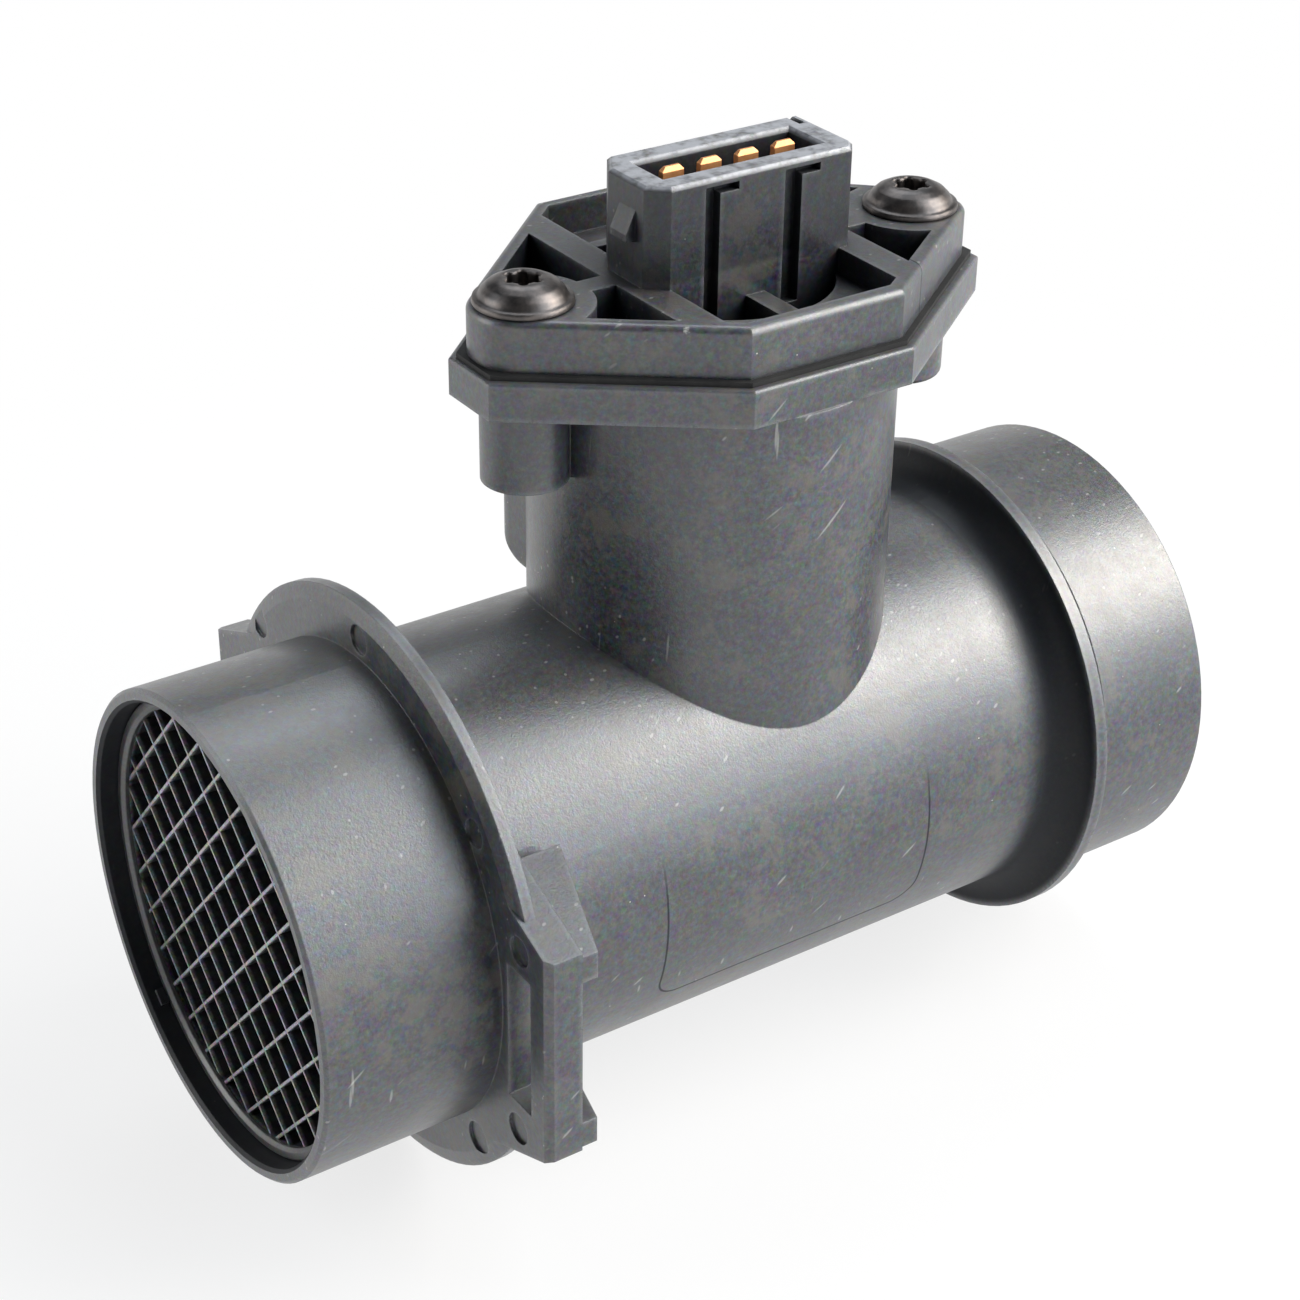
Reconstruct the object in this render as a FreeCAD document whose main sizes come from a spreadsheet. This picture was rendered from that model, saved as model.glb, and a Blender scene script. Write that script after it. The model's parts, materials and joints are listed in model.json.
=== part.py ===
import FreeCAD, Part
import math
import os
import Sketcher

V = FreeCAD.Vector
os.makedirs("parts", exist_ok=True)
doc = FreeCAD.newDocument("mass_airflow_sensor")

# Frame: origin at the centre of the inlet end face, +X along the air flow, +Z up the neck.
# Millimetres. u is measured along X from the head centre, v along Y.

SIZES = [
    ("overall_length", 125.45, "inlet end to outlet end"),
    ("inlet_radius", 29.0, "outer radius of the inlet spigot"),
    ("inlet_wall", 1.7, "wall of the inlet mouth"),
    ("main_radius", 26.8, "outer radius of the tube between flange and ring"),
    ("duct_bore_radius", 24.4, "bore of the measuring length"),
    ("inlet_cone_end", 24.0, "where the bore behind the grid reaches its measuring size"),
    ("flange_start", 21.6, "front face of the inlet flange"),
    ("flange_thickness", 1.95, "inlet flange"),
    ("flange_radius", 35.3, "inlet flange"),
    ("flange_bevel", 1.9, "front bevel of the flange, radially"),
    ("flange_bevel_depth", 0.6, "front bevel of the flange, along the axis"),
    ("ring_start", 104.9, "front face of the outlet ring"),
    ("ring_thickness", 1.7, "outlet ring"),
    ("ring_radius", 31.6, "outlet ring"),
    ("ring_foot", 4.4, "hollow round in front of the ring"),
    ("outlet_radius", 28.9, "outer radius of the outlet spigot"),
    ("outlet_wall", 2.5, "wall of the outlet spigot"),
    ("outlet_cone_start", 96.0, "where the bore starts to widen"),
    ("outlet_cone_end", 108.0, "where the bore stops widening"),
    ("end_bevel", 0.4, "bevel on the ends of the spigots"),
    ("seam_place", 108.6, "fine mould seam behind the ring"),
    ("seam_depth", 0.12, "mould seam"),
    ("lug_thickness", 4.4, "lugs of the flange, along the axis"),
    ("lug_reach", 38.0, "outer face of a lug from the axis"),
    ("lug_tip_half", 13.3, "half height of a lug at its outer face"),
    ("lug_root", 24.0, "where the lug meets the flange, from the axis"),
    ("lug_root_half", 19.2, "half height of a lug at its root"),
    ("lug_bar", 3.4, "bar outside the clip slot"),
    ("lug_bevel", 0.8, "front bevel along the outer face of a lug"),
    ("slot_width", 4.6, "clip slot"),
    ("slot_half_height", 8.9, "clip slot"),
    ("gusset_inner", 9.5, "near face of a gusset from the middle of the lug"),
    ("gusset_setback", 0.5, "gusset inside the lug's slanting edge"),
    ("gusset_root", 25.5, "where the gusset leaves the lug's slanting edge, from the axis"),
    ("gusset_end", 22.0, "inner end of a gusset, from the axis"),
    ("gusset_tip", 1.9, "how far a gusset stands behind the lug at its outer face"),
    ("gusset_foot", 5.5, "how far a gusset stands behind the lug at the tube"),
    ("front_lug_drop", 2.3, "middle of the front lug below the axis"),
    ("rear_lug_rise", 1.4, "middle of the rear lug above the axis"),
    ("pin_mark_depth", 0.35, "ejector pin marks on the flange"),
    ("neck_place", 68.03, "axis of the neck along X"),
    ("neck_radius", 21.3, "neck"),
    ("neck_wall", 2.4, "neck"),
    ("head_shift", 1.43, "head centre beyond the neck axis"),
    ("plate_bottom", 56.0, "underside of the seat plate"),
    ("plate_thickness", 4.4, "seat plate"),
    ("plate_half_length", 33.5, "seat plate from the head centre to each end"),
    ("plate_right_extra", 0.5, "right end of the plate beyond its half length"),
    ("plate_end_half", 4.17, "half width of the plate's end faces"),
    ("plate_front", 20.9, "front face of the plate"),
    ("plate_front_half", 10.75, "half length of the plate's front face"),
    ("plate_rear", 25.8, "rear face of the plate"),
    ("plate_rear_half", 10.4, "half length of the plate's rear face"),
    ("plate_round", 0.35, "rounding of the plate's top and bottom edges"),
    ("screw_half_spacing", 26.5, "screws from the head centre"),
    ("boss_radius", 5.0, "screw bosses"),
    ("boss_length", 10.0, "screw bosses below the plate"),
    ("boss_round", 0.8, "rounding of the boss ends"),
    ("bay_half_length", 18.7, "electronics bay behind the neck"),
    ("bay_rear", 23.8, "rear face of the bay"),
    ("bay_bottom", 26.3, "underside of the bay"),
    ("bay_wall", 2.4, "walls and floor of the bay"),
    ("bay_round", 3.5, "rounding of the bay's lower rear edges and upright corners"),
    ("bay_cut_long", 6.2, "slanting corner of the bay along X"),
    ("bay_cut_deep", 5.8, "slanting corner of the bay along Y"),
    ("bay_inner_slope", 6.0, "bevel of the bay's inner rear corners"),
    ("stem_bore_radius", 11.5, "hole for the stem"),
    ("collar_wall", 2.5, "collar around the stem hole"),
    ("collar_top", 33.0, "seat of the stem"),
    ("grid_start", 3.4, "front of the grid"),
    ("grid_depth", 5.0, "grid"),
    ("grid_pitch", 4.55, "cells of the grid"),
    ("grid_web", 0.35, "webs of the grid"),
    ("grid_rim", 1.2, "rim around the grid"),
    ("grid_angle", 42.5, "degrees the webs are turned about the axis"),
    ("ring_width", 1.4, "retaining ring, radially"),
    ("ring_depth", 0.9, "retaining ring, along the axis"),
    ("ring_round", 0.4, "rounding of the retaining ring's front"),
    ("fit_clearance", 0.1, "between the mouth and what is pushed into it"),
    ("shoulder_step", 1.6, "shoulder that the grid seats on"),
    ("nub_height", 0.6, "snap nubs in the mouth"),
    ("nub_half_width", 1.0, "snap nubs in the mouth"),
    ("nub_depth", 1.0, "snap nubs in the mouth"),
    ("nub_angle", 49.0, "degrees of the first nub below the -Y to +Y line"),
    ("gasket_thickness", 0.6, "flat gasket under the cover"),
    ("gasket_inset", 0.9, "gasket edge inside the plate edge"),
    ("gasket_gap", 0.4, "gasket edge outside the openings"),
    ("cover_inset", 1.6, "cover edge inside the plate edge"),
    ("cover_wall", 1.8, "wall around the cover"),
    ("cover_floor", 1.6, "floor of the cover's pockets"),
    ("cover_height", 5.8, "cover from the gasket to its top"),
    ("cover_left_round", 5.5, "rounding of the cover's left end"),
    ("cover_right_round", 4.0, "rounding of the cover's right end"),
    ("cover_round", 0.9, "rounding of the cover's top edge"),
    ("plug_clearance", 0.3, "between the cover's plug and the neck bore"),
    ("plug_depth", 4.0, "cover's plug below the gasket"),
    ("bar_inner", 11.45, "inner face of the cross bars from the head centre"),
    ("bar_width", 4.2, "cross bars"),
    ("rib_width", 3.0, "ribs from the cross bars to the screw pads"),
    ("screw_pad_radius", 7.9, "screw pads of the cover"),
    ("web_rise", 1.3, "raised floor in front of the shroud"),
    ("well_radius", 12.6, "deep well around the shroud"),
    ("well_rib", 2.6, "rib across the well"),
    ("well_floor", 2.5, "floor of the well"),
    ("rear_rib_place", 10.4, "rib behind the shroud"),
    ("rear_rib_width", 1.6, "rib behind the shroud"),
    ("rear_rib_drop", 0.8, "rib behind the shroud below the cover's top"),
    ("shroud_half_length", 13.9, "connector shroud"),
    ("shroud_half_depth", 6.0, "connector shroud"),
    ("shroud_rise", 11.6, "shroud above the cover's top"),
    ("left_cut_long", 2.3, "cut front left corner of the shroud along X"),
    ("left_cut_deep", 1.9, "cut front left corner of the shroud along Y"),
    ("right_cut_long", 1.3, "cut front right corner of the shroud along X"),
    ("right_cut_deep", 1.7, "cut front right corner of the shroud along Y"),
    ("rear_cut_long", 2.0, "cut rear left corner of the shroud along X"),
    ("rear_cut_deep", 3.3, "cut rear left corner of the shroud along Y"),
    ("shroud_rim_round", 0.45, "rim of the shroud"),
    ("socket_half_length", 10.4, "connector socket"),
    ("socket_half_width", 2.8, "connector socket"),
    ("socket_depth", 12.4, "connector socket"),
    ("socket_lead_in", 0.5, "bevel of the socket's mouth"),
    ("channel_depth", 1.3, "key channels in the shroud's front"),
    ("channel_foot", 61.8, "lower end of the key channels"),
    ("channel_top_gap", 0.9, "key channels below the shroud's rim"),
    ("left_channel_near", 5.2, "left key channel, edge next to the middle"),
    ("left_channel_far", 7.1, "left key channel, far edge"),
    ("right_channel_near", 3.5, "right key channel, edge next to the middle"),
    ("right_channel_far", 5.8, "right key channel, far edge"),
    ("ledge_depth", 1.2, "ledges beside the key channels"),
    ("ledge_width", 2.5, "ledges beside the key channels"),
    ("ledge_height", 0.9, "ledges beside the key channels"),
    ("latch_foot", 6.7, "underside of the latch below the rim"),
    ("latch_height", 3.6, "latch"),
    ("latch_reach", 1.2, "latch"),
    ("latch_width", 3.1, "latch"),
    ("latch_shift", 0.5, "rear side of the latch from the middle"),
    ("rim_notch_width", 0.8, "notch across the shroud's rear rim"),
    ("rim_notch_depth", 0.5, "notch across the shroud's rear rim"),
    ("rim_notch_place", 12.2, "notch from the head centre"),
    ("terminal_pitch", 5.0, "terminals"),
    ("terminal_width", 2.8, "terminals"),
    ("terminal_thickness", 0.8, "terminals"),
    ("terminal_drop", 0.05, "terminal tips below the rim"),
    ("terminal_tip", 0.6, "bevel of the terminal tips"),
    ("terminal_foot", 51.2, "bent foot of the terminals"),
    ("screw_flange_radius", 5.6, "flange of the screw head"),
    ("screw_flange_thickness", 0.8, "flange of the screw head"),
    ("screw_dome_start", 4.95, "dome of the screw head where it leaves the flange"),
    ("screw_dome_top", 2.6, "flat around the recess"),
    ("screw_head_height", 2.7, "screw head"),
    ("screw_radius", 2.5, "screw shank"),
    ("screw_length", 16.0, "screw shank"),
    ("screw_clearance", 0.25, "around the shank in cover and gasket"),
    ("recess_core", 1.72, "star recess between its lobes"),
    ("recess_lobe", 0.55, "lobes of the star recess"),
    ("recess_lobe_place", 1.7, "lobes of the star recess from the axis"),
    ("recess_depth", 1.7, "star recess"),
    ("insert_wall", 1.1, "brass inserts"),
    ("insert_length", 9.0, "brass inserts"),
    ("insert_drop", 0.2, "inserts below the plate's top"),
    ("insert_tip_space", 1.0, "hole below the inserts"),
    ("stem_clearance", 0.2, "between the stem and its hole"),
    ("stem_flange_radius", 13.8, "flange of the stem"),
    ("stem_flange_thickness", 2.2, "flange of the stem"),
    ("stem_plug_length", 6.0, "round plug of the stem below its seat"),
    ("finger_half_length", 9.0, "finger of the stem along the air flow"),
    ("finger_half_width", 5.0, "finger of the stem across the air flow"),
    ("finger_end", 12.0, "end of the finger below the duct axis"),
    ("finger_round", 1.5, "upright edges of the finger"),
    ("bypass_half_width", 3.0, "bypass channel through the finger"),
    ("bypass_top", 2.0, "roof of the bypass channel above the duct axis"),
    ("bypass_bottom", 8.0, "floor of the bypass channel below the duct axis"),
    ("seal_groove_depth", 1.4, "groove of the sealing ring"),
    ("seal_groove_width", 2.2, "groove of the sealing ring"),
    ("seal_groove_place", 2.4, "groove below the stem's seat"),
    ("lead_shaft_half", 6.0, "shaft for the leads"),
    ("lead_shaft_width", 4.0, "shaft for the leads"),
    ("lead_shaft_floor", 6.0, "floor of the lead shaft above the duct axis"),
    ("lid_half_length", 6.5, "lid on the finger"),
    ("lid_bottom", 7.0, "lid on the finger"),
    ("lid_top", 23.0, "lid on the finger"),
    ("lid_thickness", 1.2, "lid on the finger"),
    ("tray_half_length", 13.3, "upright tray of the stem"),
    ("tray_front", 15.0, "front face of the tray"),
    ("tray_thickness", 2.0, "upright tray of the stem"),
    ("tray_tongue_half", 11.0, "tongue from the flange to the tray"),
    ("carrier_thickness", 1.2, "carrier plate"),
    ("carrier_half_length", 12.8, "carrier plate"),
    ("carrier_gap", 0.8, "carrier plate above the flange and below the cover"),
    ("board_half_length", 12.2, "circuit board"),
    ("board_thickness", 1.6, "circuit board"),
    ("board_gap", 0.6, "board inside the carrier at its lower and upper edge"),
    ("chip_half", 4.0, "signal chip"),
    ("chip_thickness", 1.5, "signal chip"),
    ("chip_place", 44.5, "middle of the signal chip"),
    ("driver_half", 2.6, "power transistor"),
    ("driver_thickness", 2.0, "power transistor"),
    ("driver_shift", 8.6, "power transistor from the head centre"),
    ("capacitor_length", 2.0, "chip capacitors"),
    ("capacitor_width", 1.25, "chip capacitors"),
    ("capacitor_pitch", 3.2, "chip capacitors"),
    ("capacitor_place", 48.6, "row of chip capacitors"),
    ("lead_size", 0.6, "leads"),
    ("lead_pitch", 2.4, "leads"),
    ("lead_height", 38.2, "where the leads turn to the board"),
    ("element_half_length", 1.8, "hot film element"),
    ("element_thickness", 0.6, "hot film element"),
    ("element_drop", 6.0, "hot film element below the roof of the channel"),
    ("bead_radius", 1.1, "air temperature element"),
    ("bead_drop", 4.0, "air temperature element below the roof of the channel"),
]

# Ejector pin marks on the front of flange and lug: Y, Z, radius
PIN_MARKS = [
    (0.5, 31.4, 1.8), (-23.6, 19.5, 1.7), (-32.5, 9.6, 1.8),
    (-31.8, -14.9, 1.9), (-23.0, -22.5, 2.0), (25.3, 21.6, 1.8),
]

sheet = doc.addObject("Spreadsheet::Sheet", "Sizes")
for row, (alias, number, note) in enumerate(SIZES, start=1):
    sheet.set("A%d" % row, note)
    sheet.set("B%d" % row, str(number))
    sheet.setAlias("B%d" % row, alias)
doc.recompute()


class Size:
    """A length: its present worth and the expression that keeps it bound to the sheet."""

    def __init__(self, worth, text=None):
        self.worth = float(worth)
        self.text = text if text else "%.9g" % worth

    @staticmethod
    def of(other):
        return other if isinstance(other, Size) else Size(other)

    def join(self, other, sign, worth):
        return Size(worth, "(%s %s %s)" % (self.text, sign, other.text))

    def __add__(self, other):
        other = Size.of(other)
        return self.join(other, "+", self.worth + other.worth)

    def __radd__(self, other):
        return Size.of(other) + self

    def __sub__(self, other):
        other = Size.of(other)
        return self.join(other, "-", self.worth - other.worth)

    def __rsub__(self, other):
        return Size.of(other) - self

    def __mul__(self, other):
        other = Size.of(other)
        return self.join(other, "*", self.worth * other.worth)

    def __rmul__(self, other):
        return Size.of(other) * self

    def __truediv__(self, other):
        other = Size.of(other)
        return self.join(other, "/", self.worth / other.worth)

    def __neg__(self):
        return Size(-self.worth, "(-1 * %s)" % self.text)


class Sheet:
    """Reads a named size as a bound Size."""

    def __getattr__(self, alias):
        return Size(sheet.get(alias), "Sizes.%s" % alias)


d = Sheet()


def bind(target, path, size):
    """Tie a property to the sheet; a plain number is set as it is."""
    if isinstance(size, Size) and "Sizes." in size.text:
        target.setExpression(path, size.text)


class Profile:
    """A closed outline: corners tied to the sketch's origin, arcs tied by centre and radius."""

    def __init__(self, sketch):
        self.sketch = sketch

    def hold(self, kind, geometry, end, size):
        size = Size.of(size)
        if abs(size.worth) < 1e-9:
            axis = -2 if kind == "DistanceX" else -1
            self.sketch.addConstraint(Sketcher.Constraint("PointOnObject", geometry, end, axis))
            return
        index = self.sketch.addConstraint(
            Sketcher.Constraint(kind, -1, 1, geometry, end, size.worth))
        bind(self.sketch, "Constraints[%d]" % index, size)

    def loop(self, corners, arcs=None):
        """corners: (x, y) or (x, y, "x") where only that one is held; arcs: {edge: (cx, cy, r)}."""
        arcs = arcs or {}
        spots = [(Size.of(c[0]), Size.of(c[1]), c[2] if len(c) > 2 else "xy") for c in corners]
        count = len(spots)
        first = self.sketch.GeometryCount
        starts = []
        for i, (x, y, held) in enumerate(spots):
            to_x, to_y, to_held = spots[(i + 1) % count]
            a = V(x.worth, y.worth, 0)
            b = V(to_x.worth, to_y.worth, 0)
            if i in arcs:
                cx, cy, radius = [Size.of(k) for k in arcs[i]]
                turn_a = math.atan2(a.y - cy.worth, a.x - cx.worth)
                turn_b = math.atan2(b.y - cy.worth, b.x - cx.worth)
                sweep = (turn_b - turn_a) % (2 * math.pi)
                forward = sweep < math.pi
                low, high = (turn_a, turn_b) if forward else (turn_b, turn_a)
                circle = Part.Circle(V(cx.worth, cy.worth, 0), V(0, 0, 1), radius.worth)
                self.sketch.addGeometry(Part.ArcOfCircle(circle, low, high))
                starts.append((1, 2) if forward else (2, 1))
            else:
                self.sketch.addGeometry(Part.LineSegment(a, b))
                starts.append((1, 2))
        for i in range(count):
            after = (i + 1) % count
            self.sketch.addConstraint(Sketcher.Constraint(
                "Coincident", first + i, starts[i][1], first + after, starts[after][0]))
        for i, (x, y, held) in enumerate(spots):
            if "x" in held:
                self.hold("DistanceX", first + i, starts[i][0], x)
            if "y" in held:
                self.hold("DistanceY", first + i, starts[i][0], y)
        for i, (cx, cy, radius) in arcs.items():
            self.hold("DistanceX", first + i, 3, cx)
            self.hold("DistanceY", first + i, 3, cy)
            radius = Size.of(radius)
            index = self.sketch.addConstraint(
                Sketcher.Constraint("Radius", first + i, radius.worth))
            bind(self.sketch, "Constraints[%d]" % index, radius)

    def circle(self, x, y, radius):
        x, y, radius = Size.of(x), Size.of(y), Size.of(radius)
        index = self.sketch.addGeometry(
            Part.Circle(V(x.worth, y.worth, 0), V(0, 0, 1), radius.worth))
        self.hold("DistanceX", index, 3, x)
        self.hold("DistanceY", index, 3, y)
        held = self.sketch.addConstraint(Sketcher.Constraint("Radius", index, radius.worth))
        bind(self.sketch, "Constraints[%d]" % held, radius)

    def box(self, x0, x1, y0, y1):
        self.loop([(x0, y0), (x1, y0), (x1, y1), (x0, y1)])


class Piece:
    """One moulded, turned or stamped piece, built feature by feature."""

    def __init__(self, name):
        self.body = doc.addObject("PartDesign::Body", name)
        self.body.Label = name
        self.steps = 0

    def name(self, what):
        self.steps += 1
        return "%s_%02d_%s" % (self.body.Name, self.steps, what)

    def sketch(self, plane, offset=0.0, turn=0.0):
        """plane: XY, XZ or YZ; offset along its normal (XZ looks to -Y); turn in degrees."""
        origin = [f for f in self.body.Origin.OriginFeatures if f.Role == plane + "_Plane"][0]
        sketch = self.body.newObject("Sketcher::SketchObject", self.name("sketch"))
        sketch.AttachmentSupport = [(origin, "")]
        sketch.MapMode = "FlatFace"
        offset, turn = Size.of(offset), Size.of(turn)
        sketch.AttachmentOffset = FreeCAD.Placement(
            V(0, 0, offset.worth), FreeCAD.Rotation(V(0, 0, 1), turn.worth))
        bind(sketch, ".AttachmentOffset.Base.z", offset)
        if turn.worth:
            bind(sketch, ".AttachmentOffset.Rotation.Angle", turn)
        return Profile(sketch)

    def volume(self):
        shape = self.body.Shape
        return 0.0 if shape.isNull() else shape.Volume

    def finish(self, feature, profile, adds):
        before = self.volume()
        doc.recompute()
        after = self.volume()
        changed = after > before if adds else after < before
        if not changed:
            raise ValueError("%s changed nothing" % feature.Name)
        profile.sketch.Visibility = False
        return feature

    def extrude(self, kind, profile, length, back, middle):
        feature = self.body.newObject(kind, self.name(kind.split("::")[1].lower()))
        feature.Profile = profile.sketch
        length = Size.of(length)
        feature.Length = length.worth
        bind(feature, "Length", length)
        feature.Reversed = back
        feature.Midplane = middle
        return self.finish(feature, profile, kind.endswith("Pad"))

    def pad(self, profile, length, back=False, middle=False):
        return self.extrude("PartDesign::Pad", profile, length, back, middle)

    def pocket(self, profile, length, back=False, middle=False):
        return self.extrude("PartDesign::Pocket", profile, length, back, middle)

    def turn(self, kind, profile, axis):
        feature = self.body.newObject(kind, self.name(kind.split("::")[1].lower()))
        feature.Profile = profile.sketch
        feature.ReferenceAxis = (profile.sketch, [axis])
        feature.Angle = 360.0
        return self.finish(feature, profile, kind.endswith("Revolution"))

    def revolve(self, profile, axis="H_Axis"):
        return self.turn("PartDesign::Revolution", profile, axis)

    def groove(self, profile, axis="H_Axis"):
        return self.turn("PartDesign::Groove", profile, axis)

    def dress(self, kind, field, size, test):
        """Round or bevel every edge that passes the test."""
        base = self.body.Tip
        names = ["Edge%d" % (i + 1) for i, e in enumerate(base.Shape.Edges) if test(e)]
        if not names:
            raise ValueError("no edge found for %s" % kind)
        feature = self.body.newObject(kind, self.name(kind.split("::")[1].lower()))
        feature.Base = (base, names)
        size = Size.of(size)
        setattr(feature, field, size.worth)
        bind(feature, field, size)
        doc.recompute()
        return feature

    def fillet(self, size, test):
        return self.dress("PartDesign::Fillet", "Radius", size, test)

    def chamfer(self, size, test):
        return self.dress("PartDesign::Chamfer", "Size", size, test)

    def polar(self, features, count, plane_axis):
        axis = [f for f in self.body.Origin.OriginFeatures if f.Role == plane_axis][0]
        feature = self.body.newObject("PartDesign::PolarPattern", self.name("pattern"))
        feature.Originals = features
        feature.Axis = (axis, [""])
        feature.Angle = 360.0
        feature.Occurrences = count
        self.body.Tip = feature
        doc.recompute()
        return feature


def near(a, b, slack=0.02):
    return abs(a - Size.of(b).worth) < slack


def upright(edge):
    """True for an edge that runs along Z only."""
    box = edge.BoundBox
    return box.XLength < 0.01 and box.YLength < 0.01 and box.ZLength > 0.1


def at_height(thing, height):
    return near(thing.BoundBox.ZMin, height) and near(thing.BoundBox.ZMax, height)


# Values that several pieces share

mouth_radius = d.inlet_radius - d.inlet_wall
head_x = d.neck_place + d.head_shift
plate_top = d.plate_bottom + d.plate_thickness
neck_bore = d.neck_radius - d.neck_wall
bay_inner_half = d.bay_half_length - d.bay_wall
bay_inner_rear = d.bay_rear - d.bay_wall
cover_bottom = plate_top + d.gasket_thickness
cover_top = cover_bottom + d.cover_height
pocket_floor = cover_bottom + d.cover_floor
plug_bottom = cover_bottom - d.plug_depth
plug_radius = neck_bore - d.plug_clearance
shroud_top = cover_top + d.shroud_rise
left_screw = head_x - d.screw_half_spacing
right_screw = head_x + d.screw_half_spacing
insert_radius = d.screw_radius + d.insert_wall
insert_top = plate_top - d.insert_drop
insert_bottom = insert_top - d.insert_length
stem_radius = d.stem_bore_radius - d.stem_clearance
stem_flange_top = d.collar_top + d.stem_flange_thickness
carrier_front = d.tray_front - d.carrier_thickness
board_front = carrier_front - d.board_thickness
carrier_bottom = stem_flange_top + d.carrier_gap
carrier_top = plug_bottom - d.carrier_gap
terminal_top = shroud_top - d.terminal_drop


def head_outline(inset):
    """The eight corners of the seat plate, drawn in by an inset that leaves its ends fuller."""
    end = d.plate_half_length - inset * 0.69
    right_end = end + d.plate_right_extra
    end_half = d.plate_end_half - inset * 0.73
    front = d.plate_front - inset
    front_half = d.plate_front_half - inset * 0.33
    rear = d.plate_rear - inset
    rear_half = d.plate_rear_half - inset * 0.39
    return [
        (head_x - end, -end_half), (head_x - front_half, -front),
        (head_x + front_half, -front), (head_x + right_end, -end_half),
        (head_x + right_end, end_half), (head_x + rear_half, rear),
        (head_x - rear_half, rear), (head_x - end, end_half),
    ]


# Duct housing: tube, flange with lugs, neck, bay and seat plate in one moulding

housing = Piece("air_duct_housing")
outside = housing.sketch("XZ")
ring_foot_start = d.ring_start - d.ring_foot
ring_back = d.ring_start + d.ring_thickness
outside.loop(
    [
        (0, 0),
        (0, d.inlet_radius - d.end_bevel),
        (d.end_bevel, d.inlet_radius),
        (d.flange_start, d.inlet_radius),
        (d.flange_start, d.flange_radius - d.flange_bevel),
        (d.flange_start + d.flange_bevel_depth, d.flange_radius),
        (d.flange_start + d.flange_thickness, d.flange_radius),
        (d.flange_start + d.flange_thickness, d.main_radius),
        (ring_foot_start, d.main_radius, "x"),
        (d.ring_start, d.main_radius + d.ring_foot, "y"),
        (d.ring_start, d.ring_radius),
        (ring_back, d.ring_radius),
        (ring_back, d.outlet_radius),
        (d.seam_place, d.outlet_radius),
        (d.seam_place, d.outlet_radius - d.seam_depth),
        (d.seam_place + 0.3, d.outlet_radius - d.seam_depth),
        (d.seam_place + 0.3, d.outlet_radius),
        (d.overall_length - d.end_bevel, d.outlet_radius),
        (d.overall_length, d.outlet_radius - d.end_bevel),
        (d.overall_length, 0),
    ],
    {8: (ring_foot_start, d.main_radius + d.ring_foot, d.ring_foot)},
)
housing.revolve(outside)

# Lugs with their gussets and clip slots; the front one sits lower, the rear one higher
lug_back = d.flange_start + d.lug_thickness
slot_outer = d.lug_reach - d.lug_bar
slot_inner = slot_outer - d.slot_width
lug_slant = (d.lug_root_half - d.lug_tip_half) / (d.lug_reach - d.lug_root)
gusset_tip_half = d.lug_tip_half - d.gusset_setback
gusset_root_half = gusset_tip_half + lug_slant * (d.lug_reach - d.gusset_root)
for side, middle in ((-1, -d.front_lug_drop), (1, d.rear_lug_rise)):
    lug = housing.sketch("YZ", d.flange_start)
    lug.loop([
        (side * d.lug_reach, middle - d.lug_tip_half),
        (side * d.lug_root, middle - d.lug_root_half),
        (side * d.lug_root, middle + d.lug_root_half),
        (side * d.lug_reach, middle + d.lug_tip_half),
    ])
    housing.pad(lug, d.lug_thickness)
    for way in (-1, 1):
        # The far edge of a gusset follows the slanting edge of the lug
        gusset = housing.sketch("YZ", d.flange_start + d.flange_thickness)
        gusset.loop([
            (side * d.lug_reach, middle + way * d.gusset_inner),
            (side * d.gusset_end, middle + way * d.gusset_inner),
            (side * d.gusset_root, middle + way * gusset_root_half),
            (side * d.lug_reach, middle + way * gusset_tip_half),
        ])
        housing.pad(gusset, d.lug_thickness - d.flange_thickness + d.gusset_foot)
    slot = housing.sketch("YZ", d.flange_start)
    slot.box(side * slot_outer, side * slot_inner,
             middle - d.slot_half_height, middle + d.slot_half_height)
    housing.pocket(slot, d.lug_thickness, back=True)

# The back of the gussets slopes from the lug's outer face down to the tube
slope = housing.sketch("XY")
slope_far = d.lug_reach + 2.0
slope_run = (d.gusset_foot - d.gusset_tip) / (d.lug_reach - d.lug_root)
for side in (-1, 1):
    slope.loop([
        (lug_back + d.gusset_foot + 0.5, side * (d.lug_root - 0.001)),
        (lug_back + d.gusset_foot, side * d.lug_root),
        (lug_back + d.gusset_tip - slope_run * 2.0, side * slope_far),
        (lug_back + d.gusset_foot + 0.5, side * slope_far),
    ])
housing.pocket(slope, 2 * (d.lug_root_half + d.front_lug_drop + 2.0), middle=True)
tube_side = housing.sketch("XZ")
tube_side.box(d.flange_start, lug_back + d.gusset_foot + 2.0, 0, d.main_radius)
housing.revolve(tube_side)
housing.chamfer(d.lug_bevel, lambda e: (
    near(e.BoundBox.XMin, d.flange_start) and near(e.BoundBox.XMax, d.flange_start)
    and e.BoundBox.ZLength > 1.9 * d.lug_tip_half.worth
    and abs(e.CenterOfMass.y) > d.lug_reach.worth - 1.0))

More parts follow.
